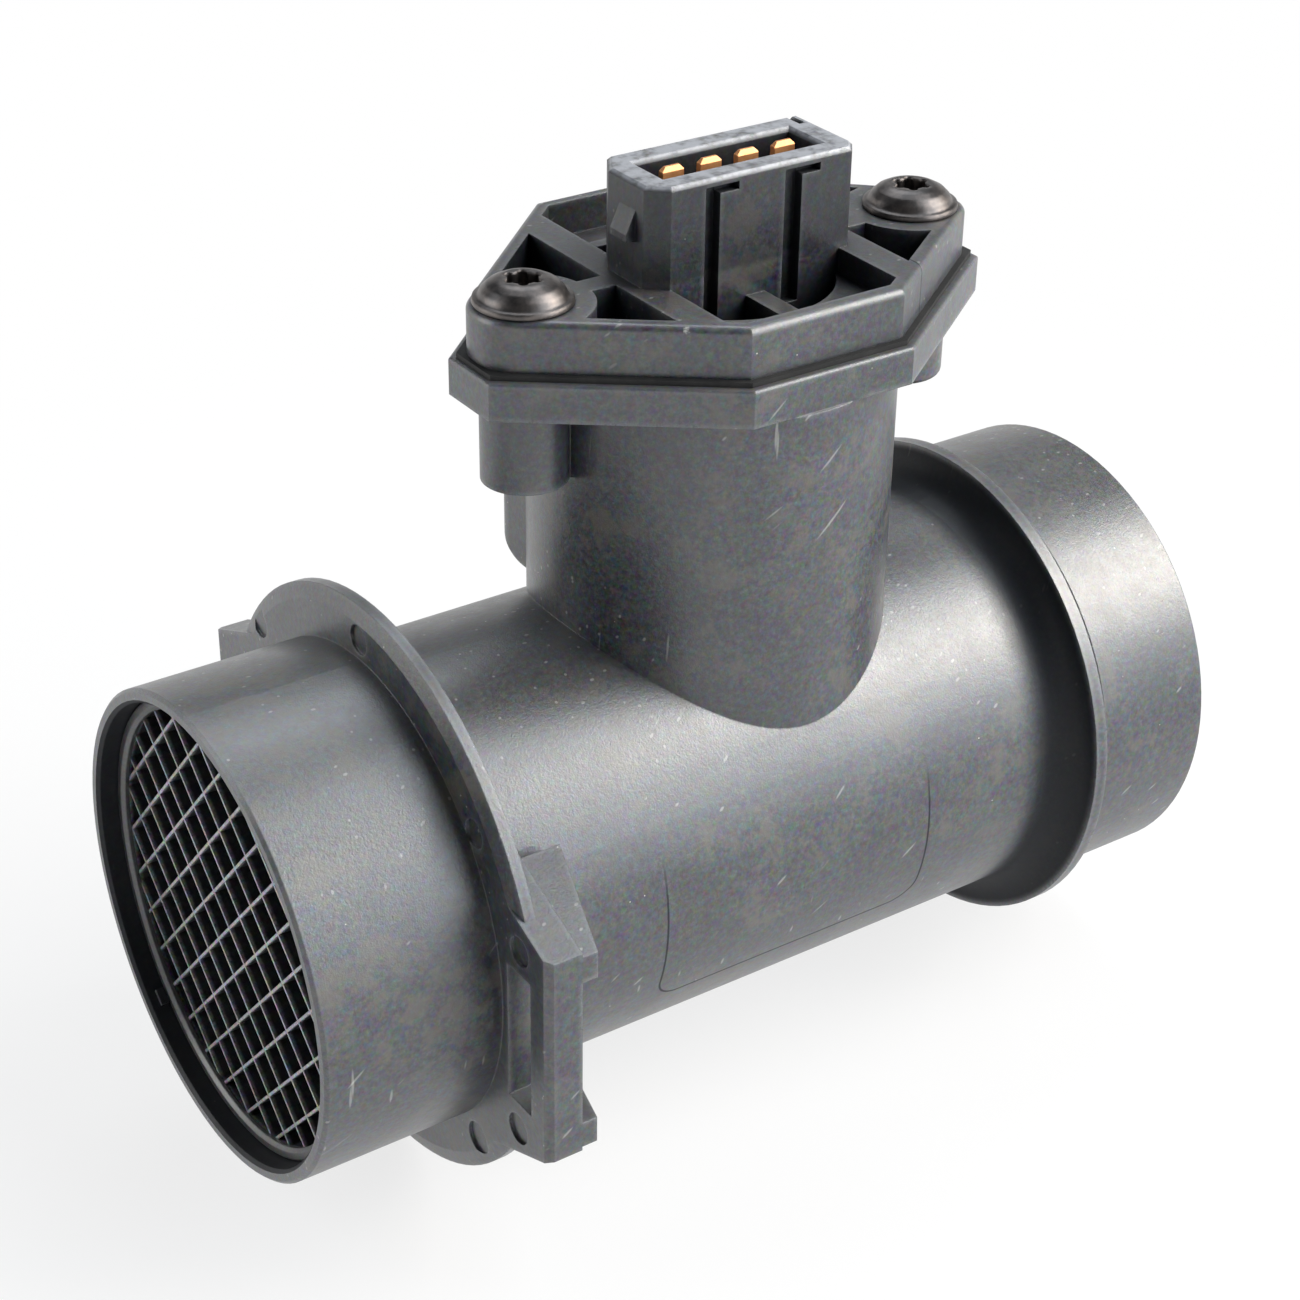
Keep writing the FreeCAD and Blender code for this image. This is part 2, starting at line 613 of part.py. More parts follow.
# Neck, bay, seat plate and screw bosses
neck = housing.sketch("XY")
neck.circle(d.neck_place, 0, d.neck_radius)
housing.pad(neck, d.plate_bottom)
bay = housing.sketch("XY", d.bay_bottom)
bay_side = d.bay_rear - d.bay_cut_deep
bay.loop([
    (head_x - d.bay_half_length, 0), (head_x + d.bay_half_length, 0),
    (head_x + d.bay_half_length, bay_side),
    (head_x + d.bay_half_length - d.bay_cut_long, d.bay_rear),
    (head_x - d.bay_half_length + d.bay_cut_long, d.bay_rear),
    (head_x - d.bay_half_length, bay_side),
])
housing.pad(bay, d.plate_bottom - d.bay_bottom)
housing.fillet(d.bay_round, lambda e: (
    near(e.BoundBox.ZMin, d.bay_bottom) and e.BoundBox.YMin > bay_side.worth - 0.02
    and (upright(e) or at_height(e, d.bay_bottom))))
plate = housing.sketch("XY", d.plate_bottom)
plate.loop(head_outline(Size(0.0)))
housing.pad(plate, d.plate_thickness)
bosses = housing.sketch("XY", d.plate_bottom)
bosses.circle(left_screw, 0, d.boss_radius)
bosses.circle(right_screw, 0, d.boss_radius)
housing.pad(bosses, d.boss_length, back=True)
housing.fillet(d.boss_round, lambda e: (
    at_height(e, d.plate_bottom - d.boss_length)
    and near(e.BoundBox.XLength, 2 * d.boss_radius, 0.1)))
housing.fillet(d.plate_round, lambda e: at_height(e, plate_top))

# Chamber inside neck and bay; the tube wall is put back under it, with a collar for the stem
chamber = housing.sketch("XY", plate_top)
chamber.circle(d.neck_place, 0, neck_bore)
housing.pocket(chamber, plate_top - d.main_radius * 0.5)
bay_room = housing.sketch("XY", plate_top)
bay_room.loop([
    (head_x - bay_inner_half, 0), (head_x + bay_inner_half, 0),
    (head_x + bay_inner_half, bay_inner_rear - d.bay_inner_slope),
    (head_x + bay_inner_half - d.bay_inner_slope, bay_inner_rear),
    (head_x - bay_inner_half + d.bay_inner_slope, bay_inner_rear),
    (head_x - bay_inner_half, bay_inner_rear - d.bay_inner_slope),
])
housing.pocket(bay_room, plate_top - d.bay_bottom - d.bay_wall)
tube_top = housing.sketch("XZ")
tube_top.loop([
    (d.neck_place - d.neck_radius, 0), (d.neck_place - d.neck_radius, d.main_radius),
    (d.neck_place + d.neck_radius, d.main_radius), (d.neck_place + d.neck_radius, 0),
])
housing.revolve(tube_top)
collar = housing.sketch("XY", d.collar_top)
collar.circle(d.neck_place, 0, d.stem_bore_radius + d.collar_wall)
housing.pad(collar, d.collar_top - d.duct_bore_radius * 0.7, back=True)

# Bore: mouth, shoulder for the grid, measuring length and widening outlet
shoulder = d.grid_start + d.grid_depth
inside = housing.sketch("XZ")
inside.loop([
    (0, 0), (0, mouth_radius + d.end_bevel), (d.end_bevel, mouth_radius),
    (shoulder, mouth_radius), (shoulder, mouth_radius - d.shoulder_step),
    (d.inlet_cone_end, d.duct_bore_radius), (d.outlet_cone_start, d.duct_bore_radius),
    (d.outlet_cone_end, d.outlet_radius - d.outlet_wall),
    (d.overall_length, d.outlet_radius - d.outlet_wall), (d.overall_length, 0),
])
housing.groove(inside)
stem_hole = housing.sketch("XY", d.collar_top)
stem_hole.circle(d.neck_place, 0, d.stem_bore_radius)
housing.pocket(stem_hole, d.collar_top)

# Screw insert holes, snap nubs in the mouth, ejector pin marks on the flange
holes = housing.sketch("XY", plate_top)
holes.circle(left_screw, 0, insert_radius)
holes.circle(right_screw, 0, insert_radius)
housing.pocket(holes, d.insert_drop + d.insert_length + d.insert_tip_space)
nub_face = housing.sketch("YZ", d.grid_start - d.ring_depth - d.nub_depth - d.fit_clearance,
                          -d.nub_angle)
nub_face.box(mouth_radius - d.nub_height, mouth_radius + 0.8, -d.nub_half_width, d.nub_half_width)
nub = housing.pad(nub_face, d.nub_depth)
housing.polar([nub], 3, "X_Axis")
pins = housing.sketch("YZ", d.flange_start)
for y, z, radius in PIN_MARKS:
    pins.circle(y, z, radius)
housing.pocket(pins, d.pin_mark_depth, back=True)

# Grid: square cells turned on the axis, with a rim that seats on the shoulder

grid_rim_radius = mouth_radius - d.fit_clearance
grid_inner = grid_rim_radius - d.grid_rim
web_rows = 11


def place(feature, x=None, y=None, z=None):
    """Set a primitive's corner or centre and bind each given coordinate."""
    base = V(*[Size.of(k if k is not None else 0).worth for k in (x, y, z)])
    feature.Placement = FreeCAD.Placement(base, feature.Placement.Rotation)
    for axis, size in (("x", x), ("y", y), ("z", z)):
        if size is not None:
            bind(feature, "Placement.Base.%s" % axis, Size.of(size))


def primitive(kind, name, sizes, x=None, y=None, z=None, rotation=None):
    feature = doc.addObject(kind, name)
    for field, size in sizes.items():
        size = Size.of(size)
        setattr(feature, field, size.worth)
        bind(feature, field, size)
    if rotation is not None:
        feature.Placement = FreeCAD.Placement(V(0, 0, 0), rotation)
    place(feature, x, y, z)
    return feature


def boolean(kind, name, shapes):
    feature = doc.addObject(kind, name)
    if kind in ("Part::MultiFuse", "Part::MultiCommon"):
        feature.Shapes = shapes
    elif kind == "Part::Compound":
        feature.Links = shapes
    else:
        feature.Base, feature.Tool = shapes
    feature.Label = name
    return feature


ALONG_X = FreeCAD.Rotation(V(0, 1, 0), 90)
webs = []
for row in range(web_rows):
    off = d.grid_pitch * (row - (web_rows - 1) / 2.0) - d.grid_web / 2.0
    webs.append(primitive(
        "Part::Box", "web_up_%d" % row,
        {"Length": d.grid_depth, "Width": d.grid_web, "Height": 2 * grid_inner + 2.0},
        d.grid_start, off, -(grid_inner + 1.0)))
    webs.append(primitive(
        "Part::Box", "web_across_%d" % row,
        {"Length": d.grid_depth, "Width": 2 * grid_inner + 2.0, "Height": d.grid_web},
        d.grid_start, -(grid_inner + 1.0), off))
web_cross = boolean("Part::MultiFuse", "web_cross", webs)
web_limit = primitive(
    "Part::Cylinder", "web_limit", {"Radius": grid_inner + 0.4, "Height": d.grid_depth},
    d.grid_start, rotation=ALONG_X)
web_disc = boolean("Part::Common", "web_disc", (web_cross, web_limit))
rim_outer = primitive(
    "Part::Cylinder", "grid_rim_outer", {"Radius": grid_rim_radius, "Height": d.grid_depth},
    d.grid_start, rotation=ALONG_X)
rim_inner = primitive(
    "Part::Cylinder", "grid_rim_inner", {"Radius": grid_inner, "Height": d.grid_depth + 2.0},
    d.grid_start - 1.0, rotation=ALONG_X)
grid_rim = boolean("Part::Cut", "grid_rim_tube", (rim_outer, rim_inner))
grid = boolean("Part::Fuse", "flow_straightener_grid", (web_disc, grid_rim))
grid.Placement = FreeCAD.Placement(V(0, 0, 0), FreeCAD.Rotation(V(1, 0, 0), sheet.grid_angle))
grid.setExpression(".Placement.Rotation.Angle", "Sizes.grid_angle")

# Retaining ring in front of the grid

retainer = Piece("grid_retaining_ring")
ring_inner = grid_rim_radius - d.ring_width
ring_front = d.grid_start - d.ring_depth
ring_section = retainer.sketch("XZ")
ring_section.loop([
    (ring_front, ring_inner + d.ring_round), (ring_front, grid_rim_radius - d.ring_round * 0.5),
    (ring_front + d.ring_round * 0.5, grid_rim_radius), (d.grid_start, grid_rim_radius),
    (d.grid_start, ring_inner), (ring_front + d.ring_round, ring_inner),
])
retainer.revolve(ring_section)

# Gasket between seat plate and cover

gasket = Piece("cover_gasket")
gasket_face = gasket.sketch("XY", plate_top)
gasket_face.loop(head_outline(d.gasket_inset))
gasket.pad(gasket_face, d.gasket_thickness)
gasket_room = gasket.sketch("XY", plate_top)
gasket_room.circle(d.neck_place, 0, neck_bore + d.gasket_gap)
gasket.pocket(gasket_room, d.gasket_thickness, back=True)
gasket_bay = gasket.sketch("XY", plate_top)
gasket_half = bay_inner_half + d.gasket_gap
gasket_rear = bay_inner_rear + d.gasket_gap
gasket_bay.loop([
    (head_x - gasket_half, 0), (head_x + gasket_half, 0),
    (head_x + gasket_half, gasket_rear - d.bay_inner_slope),
    (head_x + gasket_half - d.bay_inner_slope, gasket_rear),
    (head_x - gasket_half + d.bay_inner_slope, gasket_rear),
    (head_x - gasket_half, gasket_rear - d.bay_inner_slope),
])
gasket.pocket(gasket_bay, d.gasket_thickness, back=True)
gasket_holes = gasket.sketch("XY", plate_top)
gasket_holes.circle(left_screw, 0, d.screw_radius + d.screw_clearance)
gasket_holes.circle(right_screw, 0, d.screw_radius + d.screw_clearance)
gasket.pocket(gasket_holes, d.gasket_thickness, back=True)

# Cover with ribs, screw pads and the connector shroud in one moulding

cover = Piece("sensor_cover")
floor = cover.sketch("XY", cover_bottom)
floor.loop(head_outline(d.cover_inset))
cover.pad(floor, d.cover_floor)
plug = cover.sketch("XY", cover_bottom)
plug.circle(d.neck_place, 0, plug_radius)
cover.pad(plug, d.plug_depth, back=True)
rise = cover_top - pocket_floor
rim = cover.sketch("XY", pocket_floor)
rim.loop(head_outline(d.cover_inset))
rim.loop(head_outline(d.cover_inset + d.cover_wall))
cover.pad(rim, rise)
bar_outer = d.bar_inner + d.bar_width
inner_front = d.plate_front - d.cover_inset - d.cover_wall
inner_rear = d.plate_rear - d.cover_inset - d.cover_wall
reach_in = d.cover_wall * 0.5
for side in (-1, 1):
    bar = cover.sketch("XY", pocket_floor)
    bar.box(head_x + side * d.bar_inner, head_x + side * bar_outer,
            -(inner_front + reach_in), inner_rear + reach_in)
    cover.pad(bar, rise)
    spoke = cover.sketch("XY", pocket_floor)
    spoke.box(head_x + side * (bar_outer - 1.0), head_x + side * d.screw_half_spacing,
              -(d.rib_width / 2.0), d.rib_width / 2.0)
    cover.pad(spoke, rise)
    screw_pad = cover.sketch("XY", pocket_floor)
    screw_pad.circle(head_x + side * d.screw_half_spacing, 0, d.screw_pad_radius)
    cover.pad(screw_pad, rise)
web = cover.sketch("XY", pocket_floor)
web.box(head_x - d.bar_inner - 0.5, head_x + d.bar_inner + 0.5, -(inner_front + reach_in),
        -(d.shroud_half_depth - 0.5))
cover.pad(web, d.web_rise)
rear_rib = cover.sketch("XY", pocket_floor)
rear_rib.box(head_x - d.bar_inner - 0.5, head_x + d.bar_inner + 0.5,
             d.rear_rib_place, d.rear_rib_place + d.rear_rib_width)
cover.pad(rear_rib, rise - d.rear_rib_drop)

# What the round pads and bars leave outside the cover's outline is trimmed away
trim = cover.sketch("XY", cover_top)
far = d.plate_half_length + d.screw_pad_radius
trim.box(head_x - far, head_x + far, -far, far)
trim.loop(head_outline(d.cover_inset))
cover.pocket(trim, rise)
end_corner = d.plate_end_half - d.cover_inset * 0.73
end_face = d.plate_half_length - d.cover_inset * 0.69
for side, face, radius in ((-1, end_face, d.cover_left_round),
                           (1, end_face + d.plate_right_extra, d.cover_right_round)):
    cover.fillet(radius, lambda e: (
        upright(e) and near(abs(e.CenterOfMass.y), end_corner)
        and near(e.CenterOfMass.x, head_x + side * face)))
top_face = max((f for f in cover.body.Shape.Faces if at_height(f, cover_top)), key=lambda f: f.Area)
rim_middles = [edge.CenterOfMass for edge in top_face.OuterWire.Edges]
cover.fillet(d.cover_round, lambda e: any(
    e.CenterOfMass.distanceToPoint(middle) < 0.01 for middle in rim_middles))

shroud = cover.sketch("XY", pocket_floor)
shroud_left = head_x - d.shroud_half_length
shroud_right = head_x + d.shroud_half_length
shroud.loop([
    (shroud_left + d.left_cut_long, -d.shroud_half_depth),
    (shroud_right - d.right_cut_long, -d.shroud_half_depth),
    (shroud_right, -d.shroud_half_depth + d.right_cut_deep),
    (shroud_right, d.shroud_half_depth),
    (shroud_left + d.rear_cut_long, d.shroud_half_depth),
    (shroud_left, d.shroud_half_depth - d.rear_cut_deep),
    (shroud_left, -d.shroud_half_depth + d.left_cut_deep),
])
cover.pad(shroud, shroud_top - pocket_floor)
cover.chamfer(d.shroud_rim_round, lambda e: at_height(e, shroud_top))

# Wells in front of the shroud, left and right of the rib
well = cover.sketch("XY", cover_top)
for side in (-1, 1):
    well_near = side * d.well_rib / 2.0
    drop = math.sqrt(d.well_radius.worth ** 2 - (d.well_rib.worth / 2.0) ** 2)
    span = math.sqrt(d.well_radius.worth ** 2 - d.shroud_half_depth.worth ** 2)
    well.loop(
        [
            (head_x + well_near, -d.shroud_half_depth),
            (head_x + well_near, -drop, "x"),
            (head_x.worth + side * span, -d.shroud_half_depth, "y"),
        ],
        {1: (head_x, 0, d.well_radius)},
    )
cover.pocket(well, cover_top - plug_bottom - d.well_floor)

# Socket with its lead-in, key channels, ledges, rim notch and latch
socket = cover.sketch("XY", shroud_top)
socket.box(head_x - d.socket_half_length, head_x + d.socket_half_length,
           -d.socket_half_width, d.socket_half_width)
cover.pocket(socket, d.socket_depth)
cover.chamfer(d.socket_lead_in, lambda e: (
    at_height(e, shroud_top)
    and abs(e.CenterOfMass.y) < d.socket_half_width.worth + 0.02
    and abs(e.CenterOfMass.x - head_x.worth) < d.socket_half_length.worth + 0.02))
channels = cover.sketch("XZ", d.shroud_half_depth)
channel_top = shroud_top - d.channel_top_gap
channels.box(head_x - d.left_channel_far, head_x - d.left_channel_near,
             d.channel_foot, channel_top)
channels.box(head_x + d.right_channel_near, head_x + d.right_channel_far,
             d.channel_foot, channel_top)
cover.pocket(channels, d.channel_depth)
ledges = cover.sketch("XZ", d.shroud_half_depth)
for edge in (-d.left_channel_near, d.right_channel_far):
    ledges.box(head_x + edge - 0.1, head_x + edge + d.ledge_width,
               channel_top - d.ledge_height, channel_top)
cover.pocket(ledges, d.ledge_depth)
notch = cover.sketch("XY", shroud_top)
notch.box(head_x + d.rim_notch_place, head_x + d.rim_notch_place + d.rim_notch_width,
          d.socket_half_width + 0.4, d.shroud_half_depth + 1.0)
cover.pocket(notch, d.rim_notch_depth + d.shroud_rim_round)
latch_low = shroud_top - d.latch_foot
latch = cover.sketch("XZ", -d.latch_shift)
latch.loop([
    (shroud_left + 0.3, latch_low), (shroud_left - d.latch_reach, latch_low + 0.2),
    (shroud_left - d.latch_reach, latch_low + 1.0), (shroud_left, latch_low + d.latch_height),
    (shroud_left + 0.3, latch_low + d.latch_height),
])
cover.pad(latch, d.latch_width)
screw_holes = cover.sketch("XY", cover_top)
screw_holes.circle(left_screw, 0, d.screw_radius + d.screw_clearance)
screw_holes.circle(right_screw, 0, d.screw_radius + d.screw_clearance)
cover.pocket(screw_holes, cover_top - cover_bottom)
terminal_slots = cover.sketch("XY", shroud_top)
terminal_places = [head_x + d.terminal_pitch * k for k in (-1.5, -0.5, 0.5, 1.5)]
for x in terminal_places:
    terminal_slots.box(x - d.terminal_width / 2.0, x + d.terminal_width / 2.0,
                       -(d.terminal_thickness / 2.0), d.terminal_thickness / 2.0)
cover.pocket(terminal_slots, shroud_top - plug_bottom)

# Terminals: blades that run down through the cover and turn to the board

for index, x in enumerate(terminal_places, start=1):
    terminal = Piece("terminal_%d" % index)
    side_view = terminal.sketch("YZ", x)
    half = d.terminal_thickness / 2.0
    foot_top = d.terminal_foot + d.terminal_thickness
    side_view.loop([
        (-half, d.terminal_foot), (board_front, d.terminal_foot), (board_front, foot_top),
        (half, foot_top), (half, terminal_top - d.terminal_tip),
        (half * 0.4, terminal_top), (-half * 0.4, terminal_top),
        (-half, terminal_top - d.terminal_tip),
    ])
    terminal.pad(side_view, d.terminal_width, middle=True)
    terminal.chamfer(d.terminal_tip * 0.8, lambda e: (
        at_height(e, terminal_top) and e.BoundBox.XLength < 0.01))

# Cover screws with flanged button heads and star recesses, and the inserts they turn into

screw = Piece("left_screw")
screw_section = screw.sketch("XZ")
head_top = cover_top + d.screw_head_height
flange_top = cover_top + d.screw_flange_thickness
dome_rise = d.screw_head_height - d.screw_flange_thickness
screw_section.loop([
    (0, cover_top - d.screw_length), (d.screw_radius - 0.5, cover_top - d.screw_length),
    (d.screw_radius, cover_top - d.screw_length + 0.6), (d.screw_radius, cover_top),
    (d.screw_flange_radius - 0.15, cover_top), (d.screw_flange_radius, cover_top + 0.15),
    (d.screw_flange_radius - 0.1, flange_top - 0.15), (d.screw_dome_start, flange_top),
    (d.screw_dome_start * 0.93, flange_top + dome_rise * 0.36),
    (d.screw_dome_start * 0.8, flange_top + dome_rise * 0.69),
    (d.screw_dome_top + 0.55, flange_top + dome_rise * 0.91),
    (d.screw_dome_top, head_top), (0, head_top),
])
screw.revolve(screw_section, "V_Axis")
recess = screw.sketch("XY", head_top)
recess.circle(0, 0, d.recess_core)
screw.pocket(recess, d.recess_depth)
lobe_face = screw.sketch("XY", head_top)
lobe_face.circle(d.recess_lobe_place, 0, d.recess_lobe)
lobe = screw.pocket(lobe_face, d.recess_depth)
screw.polar([lobe], 6, "Z_Axis")
place(screw.body, left_screw)

insert = Piece("left_insert")
insert_face = insert.sketch("XY", insert_bottom)
insert_face.circle(0, 0, insert_radius)
insert.pad(insert_face, d.insert_length)
insert_bore = insert.sketch("XY", insert_top)
insert_bore.circle(0, 0, d.screw_radius)
insert.pocket(insert_bore, d.insert_length)
insert_waist = insert.sketch("XZ")
waist_middle = insert_bottom + d.insert_length / 2.0
insert_waist.box(insert_radius - 0.4, insert_radius + 1.0, waist_middle - 0.8, waist_middle + 0.8)
insert.groove(insert_waist, "V_Axis")
place(insert.body, left_screw)


def pair(name, piece):
    """A piece and its mirror image across the head centre, as one group."""
    mirror = doc.addObject("Part::Mirroring", name + "_right")
    mirror.Source = piece.body
    mirror.Normal = V(1, 0, 0)
    mirror.Base = V(head_x.worth, 0, 0)
    mirror.setExpression("Base.x", head_x.text)
    return boolean("Part::Compound", name, [piece.body, mirror])


screws = pair("cover_screws", screw)
inserts = pair("boss_inserts", insert)

# Stem: flange, round plug with sealing groove, finger with bypass channel, upright tray

stem = Piece("sensor_stem")
stem_flange = stem.sketch("XY", d.collar_top)
stem_flange.circle(d.neck_place, 0, d.stem_flange_radius)
stem.pad(stem_flange, d.stem_flange_thickness)
tongue = stem.sketch("XY", d.collar_top)
tray_rear = d.tray_front + d.tray_thickness
tongue.box(head_x - d.tray_tongue_half, head_x + d.tray_tongue_half, 0, tray_rear)
stem.pad(tongue, d.stem_flange_thickness)
tray = stem.sketch("XY", d.collar_top)
tray.box(head_x - d.tray_half_length, head_x + d.tray_half_length, d.tray_front, tray_rear)
stem.pad(tray, plug_bottom - d.collar_top)
stem_plug = stem.sketch("XY", d.collar_top)
stem_plug.circle(d.neck_place, 0, stem_radius)
stem.pad(stem_plug, d.stem_plug_length, back=True)
finger = stem.sketch("XY", d.collar_top)
finger.box(d.neck_place - d.finger_half_length, d.neck_place + d.finger_half_length,
           -d.finger_half_width, d.finger_half_width)
stem.pad(finger, d.collar_top + d.finger_end, back=True)
stem.fillet(d.finger_round, lambda e: (
    upright(e) and e.BoundBox.ZMin < -1.0
    and near(abs(e.CenterOfMass.y), d.finger_half_width)))
seal_top = d.collar_top - d.seal_groove_place
seal_groove = stem.sketch("XZ")
seal_groove.box(d.neck_place + stem_radius - d.seal_groove_depth, d.neck_place + stem_radius + 1.0,
                seal_top - d.seal_groove_width, seal_top)
neck_line = seal_groove.sketch.addGeometry(
    Part.LineSegment(V(d.neck_place.worth, 0, 0), V(d.neck_place.worth, 10, 0)), True)
seal_groove.hold("DistanceX", neck_line, 1, d.neck_place)
seal_groove.hold("DistanceX", neck_line, 2, d.neck_place)
seal_groove.hold("DistanceY", neck_line, 1, Size(0.0))
seal_groove.hold("DistanceY", neck_line, 2, Size(10.0))
stem.groove(seal_groove, "Axis0")
bypass = stem.sketch("YZ", d.neck_place)
bypass.box(-d.bypass_half_width, d.bypass_half_width, -d.bypass_bottom, d.bypass_top)
stem.pocket(bypass, 2 * d.finger_half_length + 2.0, middle=True)
shaft = stem.sketch("XY", stem_flange_top)
shaft.box(d.neck_place - d.lead_shaft_half, d.neck_place + d.lead_shaft_half,
          -(d.lead_shaft_width / 2.0), d.lead_shaft_width / 2.0)
stem.pocket(shaft, stem_flange_top - d.lead_shaft_floor)
lead_places = [d.neck_place + d.lead_pitch * k for k in (-1.5, -0.5, 0.5, 1.5)]
lead_holes = stem.sketch("XY", d.lead_shaft_floor)
for x in lead_places:
    lead_holes.box(x - d.lead_size / 2.0, x + d.lead_size / 2.0,
                   -(d.lead_size / 2.0), d.lead_size / 2.0)
stem.pocket(lead_holes, d.lead_shaft_floor - d.bypass_top)
lid_seat = stem.sketch("XZ", d.finger_half_width)
lid_seat.box(d.neck_place - d.lid_half_length, d.neck_place + d.lid_half_length,
             d.lid_bottom, d.lid_top)
stem.pocket(lid_seat, d.lid_thickness)

# Sealing ring in the stem's groove, squeezed against the hole

seal_depth = d.seal_groove_depth + d.stem_clearance
seal = primitive(
    "Part::Torus", "stem_seal_ring",
    {"Radius1": d.stem_bore_radius - seal_depth / 2.0, "Radius2": seal_depth / 2.0},
    d.neck_place, 0, seal_top - d.seal_groove_width / 2.0)

# Lid on the finger, carrier plate, board and what is soldered on it

lid = Piece("stem_lid")
lid_face = lid.sketch("XZ", d.finger_half_width)
lid_face.box(d.neck_place - d.lid_half_length + d.fit_clearance,
             d.neck_place + d.lid_half_length - d.fit_clearance,
             d.lid_bottom + d.fit_clearance, d.lid_top - d.fit_clearance)
lid.pad(lid_face, d.lid_thickness, back=True)

carrier = Piece("carrier_plate")
carrier_face = carrier.sketch("XZ", -carrier_front)
carrier_face.box(head_x - d.carrier_half_length, head_x + d.carrier_half_length,
                 carrier_bottom, carrier_top)
carrier.pad(carrier_face, d.carrier_thickness, back=True)

board = Piece("circuit_board")
board_face = board.sketch("XZ", -board_front)
board_face.box(head_x - d.board_half_length, head_x + d.board_half_length,
               carrier_bottom + d.board_gap, carrier_top - d.board_gap)
board.pad(board_face, d.board_thickness, back=True)

chip = primitive(
    "Part::Box", "signal_chip",
    {"Length": 2 * d.chip_half, "Width": d.chip_thickness, "Height": 2 * d.chip_half},
    head_x - d.chip_half, board_front - d.chip_thickness, d.chip_place - d.chip_half)
driver = primitive(
    "Part::Box", "power_transistor",
    {"Length": 2 * d.driver_half, "Width": d.driver_thickness, "Height": 2 * d.driver_half},
    head_x + d.driver_shift - d.driver_half, board_front - d.driver_thickness,
    d.chip_place - d.driver_half)
capacitors = []
for column in range(3):
    capacitors.append(primitive(
        "Part::Box", "capacitor_%d" % column,
        {"Length": d.capacitor_width, "Width": d.capacitor_width, "Height": d.capacitor_length},
        head_x - d.driver_shift - d.capacitor_width / 2.0,
        board_front - d.capacitor_width,
        d.capacitor_place - d.capacitor_pitch * column - d.capacitor_length))
capacitor_row = boolean("Part::Compound", "chip_capacitors", capacitors)

# Leads from the board down the shaft to the two elements in the bypass channel

leads = []
for index, x in enumerate(lead_places):
    lead = Piece("lead_%d" % index)
    lead_view = lead.sketch("YZ", x)
    half = d.lead_size / 2.0
    lead_view.loop([
        (-half, d.bypass_top), (half, d.bypass_top), (half, d.lead_height),
        (board_front, d.lead_height), (board_front, d.lead_height + d.lead_size),
        (-half, d.lead_height + d.lead_size),
    ])
    lead.pad(lead_view, d.lead_size, middle=True)
    leads.append(lead.body)
lead_group = boolean("Part::Compound", "element_leads", leads)

film_middle = d.neck_place - d.lead_pitch
film = primitive(
    "Part::Box", "hot_film_element",
    {"Length": 2 * d.element_half_length, "Width": d.element_thickness,
     "Height": d.element_drop},
    film_middle - d.element_half_length, -(d.element_thickness / 2.0),
    d.bypass_top - d.element_drop)
bead = primitive(
    "Part::Cylinder", "air_temperature_element",
    {"Radius": d.bead_radius, "Height": d.bead_drop},
    d.neck_place + d.lead_pitch, 0, d.bypass_top - d.bead_drop)

NODES = [
    housing.body, grid, retainer.body, gasket.body, cover.body,
    doc.getObject("terminal_1"), doc.getObject("terminal_2"),
    doc.getObject("terminal_3"), doc.getObject("terminal_4"),
    screws, inserts, seal, stem.body, lid.body, carrier.body, board.body,
    chip, driver, capacitor_row, lead_group, film, bead,
]

doc.recompute()
for thing in doc.Objects:
    if "Invalid" in thing.State or "Error" in thing.State:
        raise ValueError("%s failed: %s" % (thing.Name, thing.State))
for node in NODES:
    shape = node.Shape
    if shape.isNull() or not shape.isValid():
        raise ValueError("%s has no valid shape" % node.Label)
for node in NODES:
    shape = node.Shape
    shape.exportStep("parts/%s.step" % node.Label)
    box = shape.BoundBox
    print("%-26s solids %d  volume %9.1f  x %7.2f %7.2f  y %7.2f %7.2f  z %7.2f %7.2f" % (
        node.Label, len(shape.Solids), shape.Volume,
        box.XMin, box.XMax, box.YMin, box.YMax, box.ZMin, box.ZMax))
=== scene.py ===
# %% [markdown]
# # A mass airflow sensor
# The object is a plastic air duct with a flow grid in its inlet. A neck on the duct carries a
# screwed-down head with an upright plug socket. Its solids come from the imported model, and they
# keep their shapes here. This lesson dresses them: it builds each finish from nodes, sets up a
# white studio, lights it with soft boxes and puts the camera where the photographer stood.

import json
import math
from types import SimpleNamespace

import bpy
from mathutils import Matrix, Vector


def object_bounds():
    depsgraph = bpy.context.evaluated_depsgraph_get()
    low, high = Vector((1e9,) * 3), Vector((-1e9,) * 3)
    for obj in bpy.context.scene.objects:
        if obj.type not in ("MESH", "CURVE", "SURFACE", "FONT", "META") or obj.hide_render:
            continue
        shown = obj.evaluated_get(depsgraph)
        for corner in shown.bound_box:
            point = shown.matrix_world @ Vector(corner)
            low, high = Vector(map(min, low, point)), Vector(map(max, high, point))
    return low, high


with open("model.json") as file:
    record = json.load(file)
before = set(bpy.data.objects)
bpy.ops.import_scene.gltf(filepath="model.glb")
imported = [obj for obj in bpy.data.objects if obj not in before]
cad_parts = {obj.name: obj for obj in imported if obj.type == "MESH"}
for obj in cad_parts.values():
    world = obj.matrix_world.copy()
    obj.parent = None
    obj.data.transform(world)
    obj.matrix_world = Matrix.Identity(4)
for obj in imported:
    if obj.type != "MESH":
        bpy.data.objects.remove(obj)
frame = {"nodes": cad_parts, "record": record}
nodes = frame["nodes"]
low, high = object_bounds()
print("loaded", len(nodes), "nodes, box", [round(k, 4) for k in low], [round(k, 4) for k in high])

# %% [markdown]
# ## A small language for materials
# A Blender material is a graph: values leave one node's socket and enter the next. Wiring it by
# hand hides the idea, so a Wire stands for a value on its way. Adding or multiplying wires adds
# the matching node. A colour or a vector needs Vector Math, because plain Math turns it grey.


